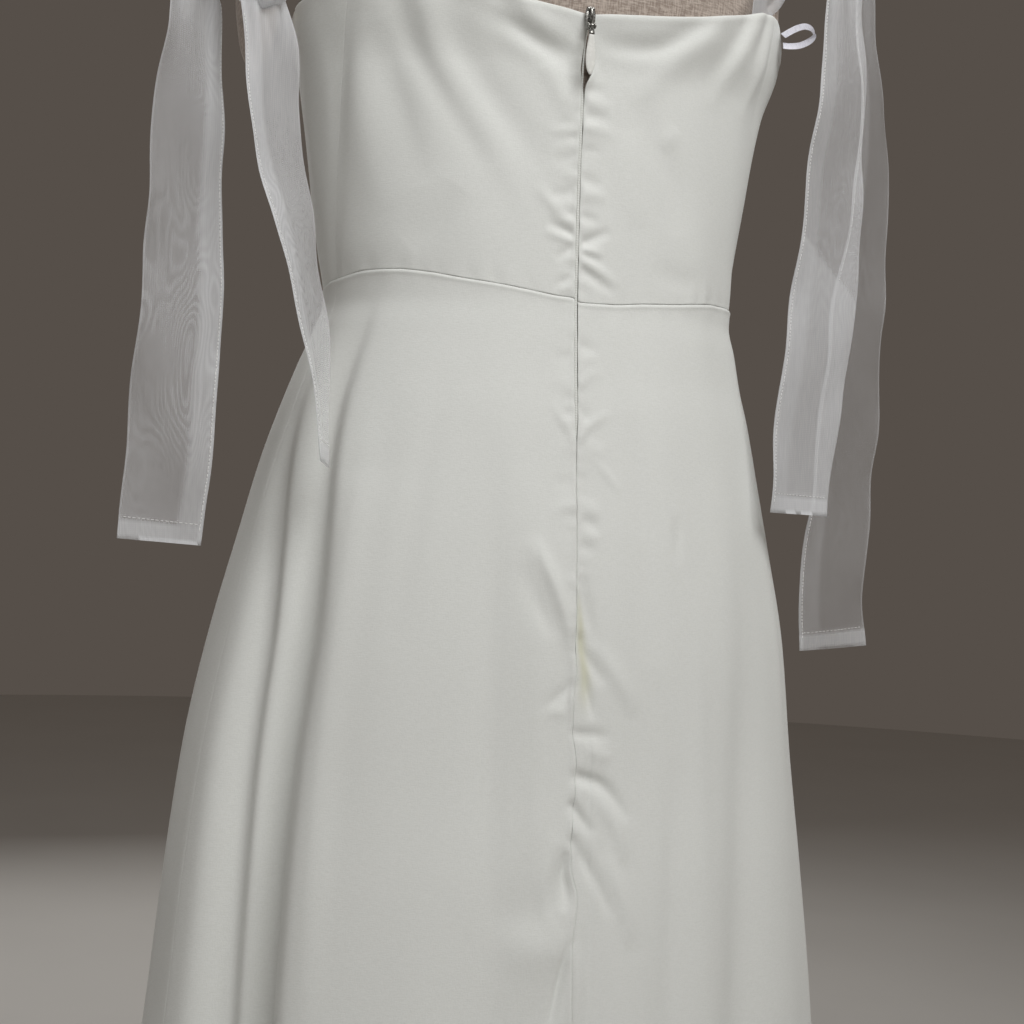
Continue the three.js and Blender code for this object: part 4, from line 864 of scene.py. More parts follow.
def back_panel(name, side, skirt):
    if skirt:
        steps = np.concatenate([[0, 0.35, 0.7, 1.05, 1.4, 1.8, 2.3, 3.0, 4.0, 5.4, 7], np.arange(9, 432, 2.05),
                                432 + np.cumsum(np.linspace(3, 9.5, 92)), ])
        steps = steps[steps < 1012]
        steps = np.concatenate([steps, np.arange(1013, 1045.1, 2.0)])
        rows = steps / steps[-1]
        if side > 0:
            share = np.concatenate([[0, 0.09], np.linspace(0.5, 7.5, 16), np.linspace(7.5, 36, 21)[1:], np.linspace(36, 76.3, 57)[1:], [76.88, 77]]) / 77
        else:
            share = np.concatenate([[0, 0.09], np.linspace(0.5, 10.5, 24), np.linspace(10.5, 76.3, 67)[1:], [76.88, 77]]) / 77
    else:
        rows = np.concatenate([[0, 0.25, 0.5, 0.8, 1.2, 1.8, 2.7, 3.7, 4.9], np.linspace(6.3, 158, 110), [159.1, 160]]) / 160
        share = np.concatenate([[0, 0.12], np.linspace(0.45, 9, 20), np.linspace(9, 69.4, 91)[1:], [69.86, 70]]) / 70
    t, g = np.meshgrid(rows, share, indexing="ij")
    phi = side * g * 70.0
    for _ in range(5):
        if skirt:
            top = waist_seam(phi) - SLIT
            dz = top + (HEM_DZ - top) * t
        else:
            low, high = waist_seam(phi) + SLIT, top_edge(phi)
            dz = low + (high - low) * t
        per_degree = np.hypot(*(gown(0.5, dz) - gown(-0.5, dz)).transpose(2, 0, 1)[:2])
        side_scale = np.hypot(*(gown(side * 74.5, dz) - gown(side * 73.5, dz)).transpose(2, 0, 1)[:2])
        first = edge_offset(dz, side) / per_degree
        last = side_seam(dz) - SLIT / side_scale
        phi = side * (first + (last - first) * g)
    u, bumps = surface_detail(phi, dz, SKIRT_CREASES if skirt else BODICE_CREASES, 1)
    from_centre = np.abs(u) - edge_offset(dz, side)
    from_side = np.abs(arc(side * side_seam(dz), dz)) - np.abs(u)
    from_waist = np.abs(dz - waist_seam(phi))
    zipped = 1 / (1 + np.exp(-(dz - ZIP_END + 4) / 5))
    d = bumps * (1 - np.exp(-(from_side / 4.0) ** 2)) * (1 - (0.25 + 0.6 * zipped) * np.exp(-(from_centre / 1.7) ** 2))
    d = d + side_seam_shape(from_side, skirt)
    d = d + zipped * seam_lip(from_centre, 0.15, 0.2, 0.6) + (1 - zipped) * seam_lip(from_centre, 0.12, 0.3, 0.6)
    if skirt:
        rolled = 1 / (1 + np.exp(np.clip((dz + 203) / 5.0, -40, 40)))
        if side > 0:
            d = d + 0.42 * rolled * np.exp(-((from_centre - 0.9) / 0.85) ** 2)
        else:
            d = d - 0.3 * rolled * np.exp(-((from_centre - 0.9) / 1.5) ** 2)
    lip = np.exp(-((dz - 126) / 9.0) ** 2) * np.exp(-(from_centre / 3.2) ** 2)
    d = d + lip * (0.5 if side > 0 else 1.2)
    pucker = ripple(dz, u * 0.25 + side * 40, 11 + side, 9, 17, 7)
    d = d + zipped * 0.17 * pucker * np.exp(-(from_centre / 7.0) ** 2)
    at_side = 1 - np.exp(-(from_side / 7.0) ** 2)
    wave = at_side * ripple(u, dz, 21 + side, 10, 90, 32, 1.6 if not skirt else 3.5)
    if skirt:
        d = d + 0.22 * wave
        d = d + low_wave(phi, dz)
        d = d + waist_lip(from_waist, True)
        hem = dz - HEM_DZ
        d = d - 0.35 * np.exp(-((hem - 14) / 1.8) ** 2) + 0.3 * np.exp(-((hem - 7) / 6) ** 2)
        d = d + at_side * 0.12 * ripple(u, dz * 0.2, 31, 8, 22, 9) * np.exp(-(from_waist / 7) ** 2)
    else:
        d = d + 0.24 * wave
        from_top = np.abs(top_edge(phi) - dz)
        d = d - 0.45 * np.exp(-(from_top / 0.8) ** 2) + 0.3 * np.exp(-((from_top - 2.6) / 2.2) ** 2)
        d = d + waist_lip(from_waist, False)
        d = d + at_side * 0.14 * ripple(u, dz * 0.2, 33, 8, 22, 9) * np.exp(-(from_waist / 8) ** 2)
    p = gown(phi, dz, d)
    if skirt:
        p[..., 0] -= seam_wander(dz) * np.exp(-(np.abs(u) / 9.0) ** 2)
    normal = np.stack([p[..., 0], p[..., 1], 0 * p[..., 0]], -1)
    o = shell(name, p, WALL, CREPE, normal, (0.14, 0.35, 0.05, 0.04) if skirt else (0.06, 0.35, 0.08, 0.04))
    # Painted shade: the mask laid on the right skirt panel beside the seam opening below the zip's end, where the
    # colour is darkened to a yellowish grey for the shadow there.
    down = np.clip((-160 - dz) / 52, 0, 1)
    place = 0.9 + 4.6 * down
    painted_opening_shade = np.exp(-((-u - place) / (1.7 + 1.6 * down)) ** 2) * np.exp(-((dz + 192) / 27) ** 4) if skirt and side < 0 else 0 * u
    attribute(o, "painted_opening_shade", np.concatenate([painted_opening_shade.ravel(), painted_opening_shade.ravel(), np.zeros(len(o.data.vertices) - 2 * painted_opening_shade.size)]))
    return o


FRONT_BODICE_CREASES = [
    # phi is measured from the centre front here
    (-1.6, 7, 7, "b", [(34, 150), (26, 118), (20, 84), (17, 40)]),
    (-1.6, 7, 7, "b", [(-35, 152), (-27, 116), (-21, 80), (-18, 38)]),
    (1.5, 9, 9, "b", [(40, 170), (40, 135), (36, 95)]),
    (1.5, 9, 9, "b", [(-40, 170), (-41, 135), (-37, 95)]),
    (-1.0, 4, 4, "s", [(0, 186), (2, 160), (1, 130)]),
    (0.9, 5, 5, "b", [(12, 182), (10, 150), (6, 112)]),
    (0.9, 5, 5, "b", [(-13, 182), (-11, 148), (-7, 108)]),
    (-0.9, 5, 5, "b", [(60, 60), (48, 36), (34, 20)]),
    (-0.9, 5, 5, "b", [(-61, 58), (-49, 34), (-35, 18)]),
    (-0.8, 4, 4, "b", [(8, 70), (10, 40), (9, 12)]),
    (-0.8, 4, 4, "b", [(-6, 66), (-9, 38), (-8, 10)]),
]


def front_panel(name, skirt):
    if skirt:
        steps = np.concatenate([[0, 0.4, 0.8, 1.2, 1.7, 2.4, 3.6, 5.5], np.linspace(8, 430, 92), np.linspace(438, 1012, 58),
                                np.arange(1015, 1045.1, 3.0)])
        rows = steps / steps[-1]
        share = np.concatenate([[0, 0.0008], np.linspace(0.006, 0.994, 164), [0.9992, 1]])
    else:
        rows = np.concatenate([[0, 0.25, 0.5, 0.9, 1.5, 2.3, 3.6], np.linspace(5.2, 157, 65), [158.6, 160]]) / 160
        share = np.concatenate([[0, 0.0008], np.linspace(0.006, 0.994, 164), [0.9992, 1]])
    t, g = np.meshgrid(rows, share, indexing="ij")
    phi = 75 + 210 * g
    for _ in range(5):
        if skirt:
            top = waist_seam(phi) - SLIT
            dz = top + (HEM_DZ - top) * t
        else:
            low, high = waist_seam(phi) + SLIT, top_edge(phi)
            dz = low + (high - low) * t
        scale = np.hypot(*(gown(75.5, dz) - gown(74.5, dz)).transpose(2, 0, 1)[:2])
        seam = side_seam(dz) + SLIT / scale
        phi = seam + (360 - 2 * seam) * g
    degrees = wrap(phi - 180)
    a, b, s, c = half_axes(phi, dz)
    u = np.radians(degrees) * np.hypot(a * np.cos(np.radians(degrees)), b * np.sin(np.radians(degrees)))
    from_side = np.minimum(phi - side_seam(dz), 360 - side_seam(dz) - phi) * scale
    from_waist = np.abs(dz - waist_seam(phi))
    d = side_seam_shape(from_side, skirt)
    at_side = 1 - np.exp(-(from_side / 7.0) ** 2)
    wave = at_side * ripple(u, dz, 41, 10, 110, 36, 3.5 if skirt else 1.5)
    if skirt:
        d = d + 0.4 * wave
        d = d + low_wave(phi, dz)
        d = d + waist_lip(from_waist, True)
        hem = dz - HEM_DZ
        d = d - 0.35 * np.exp(-((hem - 14) / 1.8) ** 2) + 0.3 * np.exp(-((hem - 7) / 6) ** 2)
    else:
        lines = [(depth, wl, wr, e, pts) for depth, wl, wr, e, pts in FRONT_BODICE_CREASES]
        d = d + 0.35 * wave + creases(u, dz, lines)
        from_top = np.abs(top_edge(phi) - dz)
        d = d - 0.45 * np.exp(-(from_top / 0.8) ** 2) + 0.3 * np.exp(-((from_top - 2.6) / 2.2) ** 2)
        d = d + waist_lip(from_waist, False)
    d = d + at_side * 0.14 * ripple(u, dz * 0.2, 35, 8, 24, 10) * np.exp(-(from_waist / 8) ** 2)
    p = gown(phi, dz, d)
    normal = np.stack([p[..., 0], p[..., 1], 0 * p[..., 0]], -1)
    return shell(name, p, WALL, CREPE, normal, (0.14, 0.35, 0.04, 0.04) if skirt else (0.06, 0.35, 0.04, 0.04))


def dress(o, body, slot, *nodes):
    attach(o, body)
    if nodes:
        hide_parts(*nodes)
    return o


panels = {}
for side, word in ((1, "left"), (-1, "right")):
    panels["bodice_back_" + word] = dress(back_panel("bodice_back_%s_cloth" % word, side, False), "gown", "crepe", "bodice_back_" + word)
    panels["skirt_back_" + word] = dress(back_panel("skirt_back_%s_cloth" % word, side, True), "gown", "crepe", "skirt_back_" + word)
panels["bodice_front"] = dress(front_panel("bodice_front_cloth", False), "gown", "crepe", "bodice_front")
panels["skirt_front"] = dress(front_panel("skirt_front_cloth", True), "gown", "crepe", "skirt_front")


# ------------------------------------------------------------------ zip
def zip_coil():
    section = [(-0.84, -1.9), (-0.84, -0.7), (-0.77, -0.42), (-0.6, -0.28), (-0.3, -0.22), (0, -0.2), (0.3, -0.22),
               (0.6, -0.28), (0.77, -0.42), (0.84, -0.7), (0.84, -1.9)]
    rings = []
    for dz in np.arange(ZIP_END, ZIP_TOP + 0.01, 0.7):
        y = gown(0, dz)[1]
        rib = 0.015 + 0.015 * math.cos(2 * math.pi * dz / 1.4)
        end = min(1.0, max(0.0, (dz - ZIP_END) / 9.0))
        gape = math.exp(-((dz - 134) / 17.0) ** 6)
        under = 1 / (1 + math.exp(min(40.0, (dz + 69) / 2.0)))
        sink = 1.5 * gape + 0.75 * under
        rings.append([(x * (0.25 + 0.75 * end) * (1 - 0.4 * gape), y - max(-1.88, out - sink) - (rib if out > -1 else 0), WAIST_Z + dz)
                      for x, out in section])
    return tube("zip_coil", rings, TAPE)


dress(zip_coil(), "gown", "zip_tape", "zip_chain")

SLIDER_TOP, SLIDER_BOTTOM, PIN_DZ = 163.5, 150.5, 152.0
slider_back_y = min(gown(0, SLIDER_TOP)[1], gown(0, SLIDER_BOTTOM)[1]) - 0.45
slider_face_y = slider_back_y - 2.4
PIN_Y = slider_face_y - 1.9


def rounded_plate(name, outline, y0, y1, bevel, material, segments=3):
    """A flat plate in the XZ plane between two depths, with rounded edges."""
    bm = bmesh.new()
    ring = [bm.verts.new((x * MM, y0 * MM, z * MM)) for x, z in outline]
    face = bm.faces.new(ring)
    made = bmesh.ops.extrude_face_region(bm, geom=[face])
    for v in made["geom"]:
        if isinstance(v, bmesh.types.BMVert):
            v.co.y = y1 * MM
    bmesh.ops.recalc_face_normals(bm, faces=bm.faces)
    edges = [e for e in bm.edges if len(e.link_faces) == 2 and e.calc_face_angle() > 0.9]
    bmesh.ops.bevel(bm, geom=edges, offset=bevel * MM, segments=segments, affect="EDGES", profile=0.5)
    mesh = bpy.data.meshes.new(name)
    bm.to_mesh(mesh)
    bm.free()
    mesh.polygons.foreach_set("use_smooth", np.ones(len(mesh.polygons), bool))
    mesh.materials.append(material)
    o = bpy.data.objects.new(name, mesh)
    bpy.context.scene.collection.objects.link(o)
    return o


def swept(name, path, radius_x, radius_n, material, n=16):
    """A rounded bar along a path in the YZ plane: half width radius_x, half height radius_n."""
    path = smooth_line(path, 8)
    tangent = np.gradient(path, axis=0)
    tangent /= np.linalg.norm(tangent, axis=1, keepdims=True)
    rings = []
    for k, (p, t) in enumerate(zip(path, tangent)):
        normal = np.array([-t[1], t[0]])
        f = min(1.0, 0.35 + 2.5 * min(k, len(path) - 1 - k) / len(path))
        ring = []
        for j in range(n):
            a = 2 * math.pi * j / n
            off = normal * radius_n * math.sin(a) * f
            ring.append((radius_x * math.cos(a) * f, p[0] + off[0], p[1] + off[1]))
        rings.append(ring)
    return tube(name, rings, material)


def disc(name, x0, x1, y, z, radius, material, n=28, round_edge=0.25):
    """A short round bar along X."""
    profile = [(x0, radius - round_edge), (x0 + round_edge * 0.3, radius - round_edge * 0.3), (x0 + round_edge, radius),
               (x1 - round_edge, radius), (x1 - round_edge * 0.3, radius - round_edge * 0.3), (x1, radius - round_edge)]
    rings = [[(x, y + r * math.cos(2 * math.pi * k / n), z + r * math.sin(2 * math.pi * k / n)) for k in range(n)] for x, r in profile]
    return tube(name, rings, material)


def zip_slider():
    z0, z1 = WAIST_Z + SLIDER_BOTTOM, WAIST_Z + SLIDER_TOP
    h = z1 - z0
    outline = []
    for t in np.linspace(0, 1, 15):
        half = 1.55 + 1.55 * math.sin(min(1, t / 0.55) * math.pi / 2) ** 1.2 if t < 0.55 else 3.1 - 1.3 * ((t - 0.55) / 0.45) ** 2.2
        outline.append((half, z0 + h * t))
    outline = outline + [(-x, z) for x, z in reversed(outline)]
    plate = rounded_plate("slider_plate", outline, slider_back_y, slider_back_y - 1.3, 0.45, METAL)
    rim = swept("slider_rim", [(slider_back_y - 1.2, z1 - 0.9), (slider_back_y - 3.0, z1 - 1.6), (slider_back_y - 3.6, z1 - 4.2),
                               (slider_back_y - 3.3, z1 - 7.2), (slider_back_y - 1.6, z1 - 8.6), (slider_back_y - 1.0, z1 - 9.0)],
                0.95, 0.55, METAL)
    cheeks = [disc("cheek", x0, x1, PIN_Y + 0.25, WAIST_Z + PIN_DZ, 1.5, METAL) for x0, x1 in ((-2.3, -1.4), (1.4, 2.3))]
    roots = [rounded_plate("root", [(x0, WAIST_Z + PIN_DZ - 1.35), (x1, WAIST_Z + PIN_DZ - 1.35), (x1, WAIST_Z + PIN_DZ + 1.9),
                                    (x0, WAIST_Z + PIN_DZ + 1.9)], slider_back_y - 1.0, PIN_Y + 0.6, 0.2, METAL)
             for x0, x1 in ((-2.3, -1.4), (1.4, 2.3))]
    pin = disc("pin", -2.25, 2.25, PIN_Y, WAIST_Z + PIN_DZ, 0.6, METAL, 20, 0.12)
    lobes = [pebble("lobe", (x, slider_back_y - 1.35, z1 - 1.5), (1.2, 1.05, 1.35), METAL) for x in (-1.35, 1.35)]
    return join("zip_slider_body", [plate, rim, *lobes, *cheeks, *roots, pin])


def bar(name, path, radius, material, n=14):
    """A round bar along a path of points, closed by its rounded ends."""
    path = np.array(path, float)
    tangent = np.gradient(path, axis=0)
    tangent /= np.linalg.norm(tangent, axis=1, keepdims=True)
    side = np.cross(tangent, np.array([0.02, 1.0, 0.03]))
    side /= np.linalg.norm(side, axis=1, keepdims=True)
    other = np.cross(side, tangent)
    rings = []
    for k in range(len(path)):
        f = math.sin(math.pi * (0.5 + min(k, len(path) - 1 - k) * 3) / (len(path) * 2)) if min(k, len(path) - 1 - k) * 6 < len(path) else 1.0
        f = max(0.25, min(1.0, f * 1.6))
        rings.append([path[k] + (side[k] * math.cos(a) + other[k] * math.sin(a)) * radius * f
                      for a in np.linspace(0, 2 * math.pi, n, endpoint=False)])
    return tube(name, rings, material)


def pebble(name, centre, radii, material, rows=14, cols=24):
    rings = []
    for i in range(rows):
        v = math.pi * (i + 0.5) / rows
        rings.append([(centre[0] + radii[0] * math.sin(v) * math.cos(w), centre[1] + radii[1] * math.sin(v) * math.sin(w),
                       centre[2] + radii[2] * math.cos(v)) for w in np.linspace(0, 2 * math.pi, cols, endpoint=False)])
    return tube(name, rings, material)


def zip_pull():
    top, bottom, n = -4.9, -27.0, 36
    halves = [(0, 1.3), (0.04, 1.62), (0.12, 1.85), (0.25, 2.3), (0.4, 2.72), (0.55, 2.93), (0.68, 2.83), (0.8, 2.4), (0.9, 1.72),
              (0.96, 1.05), (0.99, 0.5), (1.0, 0.12)]
    rings = []
    for t in np.concatenate([np.linspace(0, 0.85, 40), 1 - 0.15 * (1 - np.linspace(0.05, 1, 18)) ** 2.0]):
        half = float(table(halves, t))
        deep = 0.72 * min(1.0, (half / 1.4) ** 0.7)
        ring = []
        for k in range(n):
            a = 2 * math.pi * k / n
            cx, sy = math.cos(a), math.sin(a)
            ring.append((half * np.sign(cx) * abs(cx) ** 0.9, PIN_Y + deep * np.sign(sy) * abs(sy) ** 0.9,
                         WAIST_Z + PIN_DZ + top + (bottom - top) * t))
        rings.append(ring)
    drop = tube("pull_drop", rings, ENAMEL)
    z = WAIST_Z + PIN_DZ
    collar = pebble("pull_collar", (0, PIN_Y, z - 4.1), (1.75, 0.95, 1.25), METAL)
    legs = [bar("pull_leg", [(side * (0.55 + 0.75 * q ** 0.8), PIN_Y, z - 1.25 - 2.1 * q) for q in np.linspace(0, 1, 12)], 0.36, METAL)
            for side in (-1, 1)]
    eye_rings = []
    m = 14
    for k in range(40):
        a = 2 * math.pi * k / 40
        ring = []
        for j in range(m):
            b = 2 * math.pi * j / m
            r = 1.2 + 0.25 * math.cos(b)
            ring.append((0.95 * math.copysign(abs(math.sin(b)) ** 0.7, math.sin(b)), PIN_Y + r * math.cos(a), WAIST_Z + PIN_DZ + r * math.sin(a)))
        eye_rings.append(ring)
    rings = np.array(eye_rings)
    verts = rings.reshape(-1, 3)
    r, c = np.meshgrid(np.arange(40), np.arange(m), indexing="ij")
    a, b = (r * m + c).ravel(), (r * m + (c + 1) % m).ravel()
    d, e = (((r + 1) % 40) * m + (c + 1) % m).ravel(), (((r + 1) % 40) * m + c).ravel()
    eye = make_object("pull_eye", verts, np.stack([a, b, d, e], -1), METAL)
    tidy_normals(eye)
    return join("zip_pull_tab", [drop, collar, *legs, eye])


dress(zip_slider(), "gown", "zip_metal", "zip_slider")
dress(zip_pull(), "pull_tab", "enamel", "zip_pull")


# ------------------------------------------------------------------ ties
def along_path(points, step):
    """Resample rows of numbers by distance along their first three columns."""
    p = np.asarray(points, float)
    dist = np.concatenate([[0], np.cumsum(np.linalg.norm(np.diff(p[:, :3], axis=0), axis=1))])
    count = max(4, int(round(dist[-1] / step)))
    s = np.linspace(0, dist[-1], count + 1)
    return np.stack([pchip(dist, p[:, i], s) for i in range(p.shape[1])], -1), s, dist[-1]


def flat_tube(name, middle, across, normal, width, shape, thick, dense, material, cols=26):
    """A flattened closed tube of cloth. middle, across, normal: rows of vectors; width: rows;
    shape(k, s) moves the cloth along the normal; thick(k, s) is half of the gap between its two layers."""
    rows = len(middle)
    s = np.sin(np.linspace(-math.pi / 2, math.pi / 2, cols) * 0.98) / math.sin(math.pi / 2 * 0.98)
    s = 0.35 * s + 0.65 * np.linspace(-1, 1, cols)
    ring_s = np.concatenate([s, s[::-1]])
    ring_side = np.concatenate([np.ones(cols), -np.ones(cols)])
    rings, values = [], []
    for k in range(rows):
        half = width[k] / 2
        lift = shape(k, ring_s)
        gap = thick(k, ring_s) * np.sqrt(np.clip(1 - np.abs(ring_s) ** 8, 0.02, 1)) * ring_side
        ring = middle[k] + across[k] * (ring_s * half)[:, None] + normal[k] * (lift + gap)[:, None]
        rings.append(ring)
        values.append(dense(k, ring_s))
    o = tube(name, rings, material)
    attribute(o, "dense", np.concatenate([np.concatenate(values), [values[0].max(), values[-1].max()]]))
    return o


def stitch_line(name, points, normal, pitch, length, radius, material=None):
    """Short rounded stitches along a line of points."""
    p, s, total = along_path(points, 0.5)
    rings, objects = [], []
    verts, faces, base = [], [], 0
    n = 6
    for start in np.arange(0.5 * pitch, total - length, pitch):
        k0, k1 = int(start / total * (len(p) - 1)), int((start + length) / total * (len(p) - 1))
        a, b = p[k0, :3], p[min(k1, len(p) - 1), :3]
        d = b - a
        d /= max(np.linalg.norm(d), 1e-9)
        m = normal[min(k0, len(normal) - 1)] if len(np.shape(normal)) > 1 else np.asarray(normal, float)
        w = np.cross(d, m)
        w /= max(np.linalg.norm(w), 1e-9)
        m = np.cross(w, d)
        for t, f, sink in ((0, 0.3, 0.9), (0.14, 0.85, 0.3), (0.5, 1.0, 0), (0.86, 0.85, 0.3), (1, 0.3, 0.9)):
            c = a + (b - a) * t - m * sink * radius
            for j in range(n):
                ang = 2 * math.pi * j / n
                verts.append(c + (w * math.cos(ang) + m * math.sin(ang)) * radius * f)
        for r in range(4):
            for j in range(n):
                q = base + r * n
                faces.append((q + j, q + (j + 1) % n, q + n + (j + 1) % n, q + n + j))
        faces.append(tuple(base + j for j in reversed(range(n)))[:4])
        faces.append((base, base + 3, base + 4, base + 5)[::-1])
        top = base + 4 * n
        faces.append((top, top + 1, top + 2, top + 3))
        faces.append((top, top + 3, top + 4, top + 5))
        base += 5 * n
    o = make_object(name, np.array(verts), np.array(faces), material or THREAD)
    tidy_normals(o)
    return o


def tail(name, rows, gather, facing, band_side, band, node, seed):
    rows = np.array(rows, float)
    dz = rows[:, 0]
    count = max(40, int((dz[0] - dz[-1]) / 2.8))
    q = np.linspace(dz[0], dz[-1], count)
    order = np.argsort(dz)
    x, y, seen = (pchip(dz[order], rows[order, i], q) for i in (1, 2, 3))
    index = pchip(dz[order], np.arange(len(dz))[order].astype(float), q)
    width = TIE_WIDTH * np.minimum(1, gather + (1 - gather) * index / 4)
    rng = np.random.default_rng(seed)
    ph = rng.random(8) * 2 * math.pi
    sway = 0.7 * np.sin(2 * math.pi * q / 97 + ph[0]) + 0.15 * np.sin(2 * math.pi * q / 47 + ph[1])
    turn = math.radians(facing) + np.arccos(np.clip(seen / width, 0, 1)) + math.radians(1.5) * np.sin(2 * math.pi * q / 83 + ph[2])
    middle = np.stack([x + 0.5 * sway, y, WAIST_Z + q], -1)
    across = np.stack([np.cos(turn), np.sin(turn), 0 * turn], -1)
    down = np.gradient(middle, axis=0)
    down /= np.linalg.norm(down, axis=1, keepdims=True)
    across -= down * (across * down).sum(1, keepdims=True)
    across /= np.linalg.norm(across, axis=1, keepdims=True)
    normal = np.cross(down, across)
    below = (dz[0] - q) / (dz[0] - dz[-1])
    pleat = np.exp(-(dz[0] - q) / 38)

    def shape(k, s):
        z = q[k]
        bow = 1.9 * math.sin(2 * math.pi * z / 150 + ph[3]) * (1 - s * s)
        edge = 0.9 * s ** 3 * math.sin(2 * math.pi * z / 71 + ph[4]) + 0.35 * s * s * math.sin(2 * math.pi * z / 44 + ph[5])
        fold = 2.6 * pleat[k] * np.sin(s * 7.5 + ph[6])
        soft = 0.35 * np.sin(s * 4 + z / 14 + ph[7])
        turned = min(1.0, max(0.12, seen[k] / width[k] * 1.5))
        return (bow + edge + fold + soft) * turned

    def in_band(s):
        return 1 / (1 + np.exp(-(band_side * s - 0.42) / 0.02))

    def thick(k, s):
        hem = 1 / (1 + math.exp(min(40, (q[k] - dz[-1] - 10) / 0.5)))
        return 0.32 + 0.22 * in_band(s) + 0.25 * hem

    def dense(k, s):
        hem = 1 / (1 + math.exp(min(40, (q[k] - dz[-1] - 10.5) / 0.45)))
        rim = np.exp(-((1 - np.abs(s)) / 0.03) ** 2) + 1.0 * np.exp(-((band_side * s - 0.94) / 0.04) ** 2)
        gathered = 0.9 * pleat[k]
        return np.clip(np.maximum(band * in_band(s), 0.8 * hem) + 0.75 * rim + gathered + extra_dense(q[k], s), -0.3, 1.6)

    extra_dense = DENSE.get(name)
    o = flat_tube(name, middle, across, normal, width, shape, thick, dense, ORGANZA)
    attribute(o, "rings", np.full(len(o.data.vertices), 1.0 if "left" in name else 0.3))
    sew = []
    face = normal * (1 if normal[len(normal) // 2][1] < 0 else -1)
    for place, lo in ((0.92, 0.06), (0.44, 0.12)):
        ks = [k for k in range(count) if below[k] > lo and q[k] > dz[-1] + 4]
        pts = [middle[k] + across[k] * (band_side * place * width[k] / 2) + normal[k] * shape(k, np.array([band_side * place]))[0] + face[k] * 0.62 for k in ks]
        if place > 0.5:
            sew.append(stitch_line(name + "_s", pts, face[ks], 2.1, 1.7, 0.26))
    k = int(np.argmin(np.abs(q - (dz[-1] + 10))))
    ss = np.linspace(-0.95, 0.95, 24)
    pts = [middle[k] + across[k] * (s * width[k] / 2) + normal[k] * shape(k, np.array([s]))[0] + face[k] * 0.66 for s in ss]
    sew.append(stitch_line(name + "_h", pts, face[k], 2.6, 1.9, 0.16))
    thread = join(name + "_stitches", sew)
    dress(o, "gown", "organza", node)
    dress(thread, "gown", "organza")
    return o, thread


DENSE = {
    "tail_right_front_cloth": lambda z, s: 0.28 + 0.42 / (1 + np.exp(np.clip((z - 37 + 17 * s) / 0.6, -40, 40))),
    "tail_right_back_cloth": lambda z, s: -0.2 + 0 * s,
    "tail_left_outer_cloth": lambda z, s: 0.12 + 0 * s,
    "tail_left_inner_cloth": lambda z, s: 0.42 + 0 * s,
}
tails = {}
tails["tail_left_outer"] = tail("tail_left_outer_cloth", TAIL_LEFT_OUTER, 0.45, -7, 1, 0.62, "tail_left_outer", 3)
tails["tail_left_inner"] = tail("tail_left_inner_cloth", TAIL_LEFT_INNER, 0.6, -11, -1, 0.5, "tail_left_inner", 4)
tails["tail_right_front"] = tail("tail_right_front_cloth", TAIL_RIGHT_FRONT, 0.5, -28, -1, 0.3, "tail_right_front", 5)
tails["tail_right_back"] = tail("tail_right_back_cloth", TAIL_RIGHT_BACK, 0.5, -29, -1, 0.22, "tail_right_back", 6)


def knot(name, spec, node, seed):
    """A tied knot: a rounded wrap with the folds of the cloth running round it."""
    x, y, dz, rx, ry, rz = spec
    rng = np.random.default_rng(seed)
    ph = rng.random(6) * 2 * math.pi
    rings, rows, cols = [], 44, 64
    for i in range(rows):
        v = math.pi * (i + 0.5) / rows
        ring = []
        for j in range(cols):
            w = 2 * math.pi * j / cols
            d = np.array([math.sin(v) * math.cos(w), math.sin(v) * math.sin(w), math.cos(v)])
            lean = d[2] * 1.0 + 0.55 * d[0]
            f = 1 - 0.05 + 0.055 * math.sin(9 * lean + 1.6 * w + ph[0]) * math.sin(v) + 0.03 * math.sin(17 * lean - 2 * w + ph[1]) * math.sin(v)
            f -= 0.10 * math.exp(-((lean - 0.15) / 0.10) ** 2)
            f += 0.05 * math.exp(-((lean + 0.35) / 0.2) ** 2)
            ring.append((x + rx * d[0] * f, y + ry * d[1] * f, WAIST_Z + dz + rz * d[2] * f))
        rings.append(ring)
    o = tube(name, rings, ORGANZA)
    attribute(o, "dense", np.full(len(o.data.vertices), 1.9))
    return dress(o, "gown", "organza", node)


knots = [knot("knot_left_cloth", KNOT_LEFT, "knot_left", 12), knot("knot_right_cloth", KNOT_RIGHT, "knot_right", 13)]


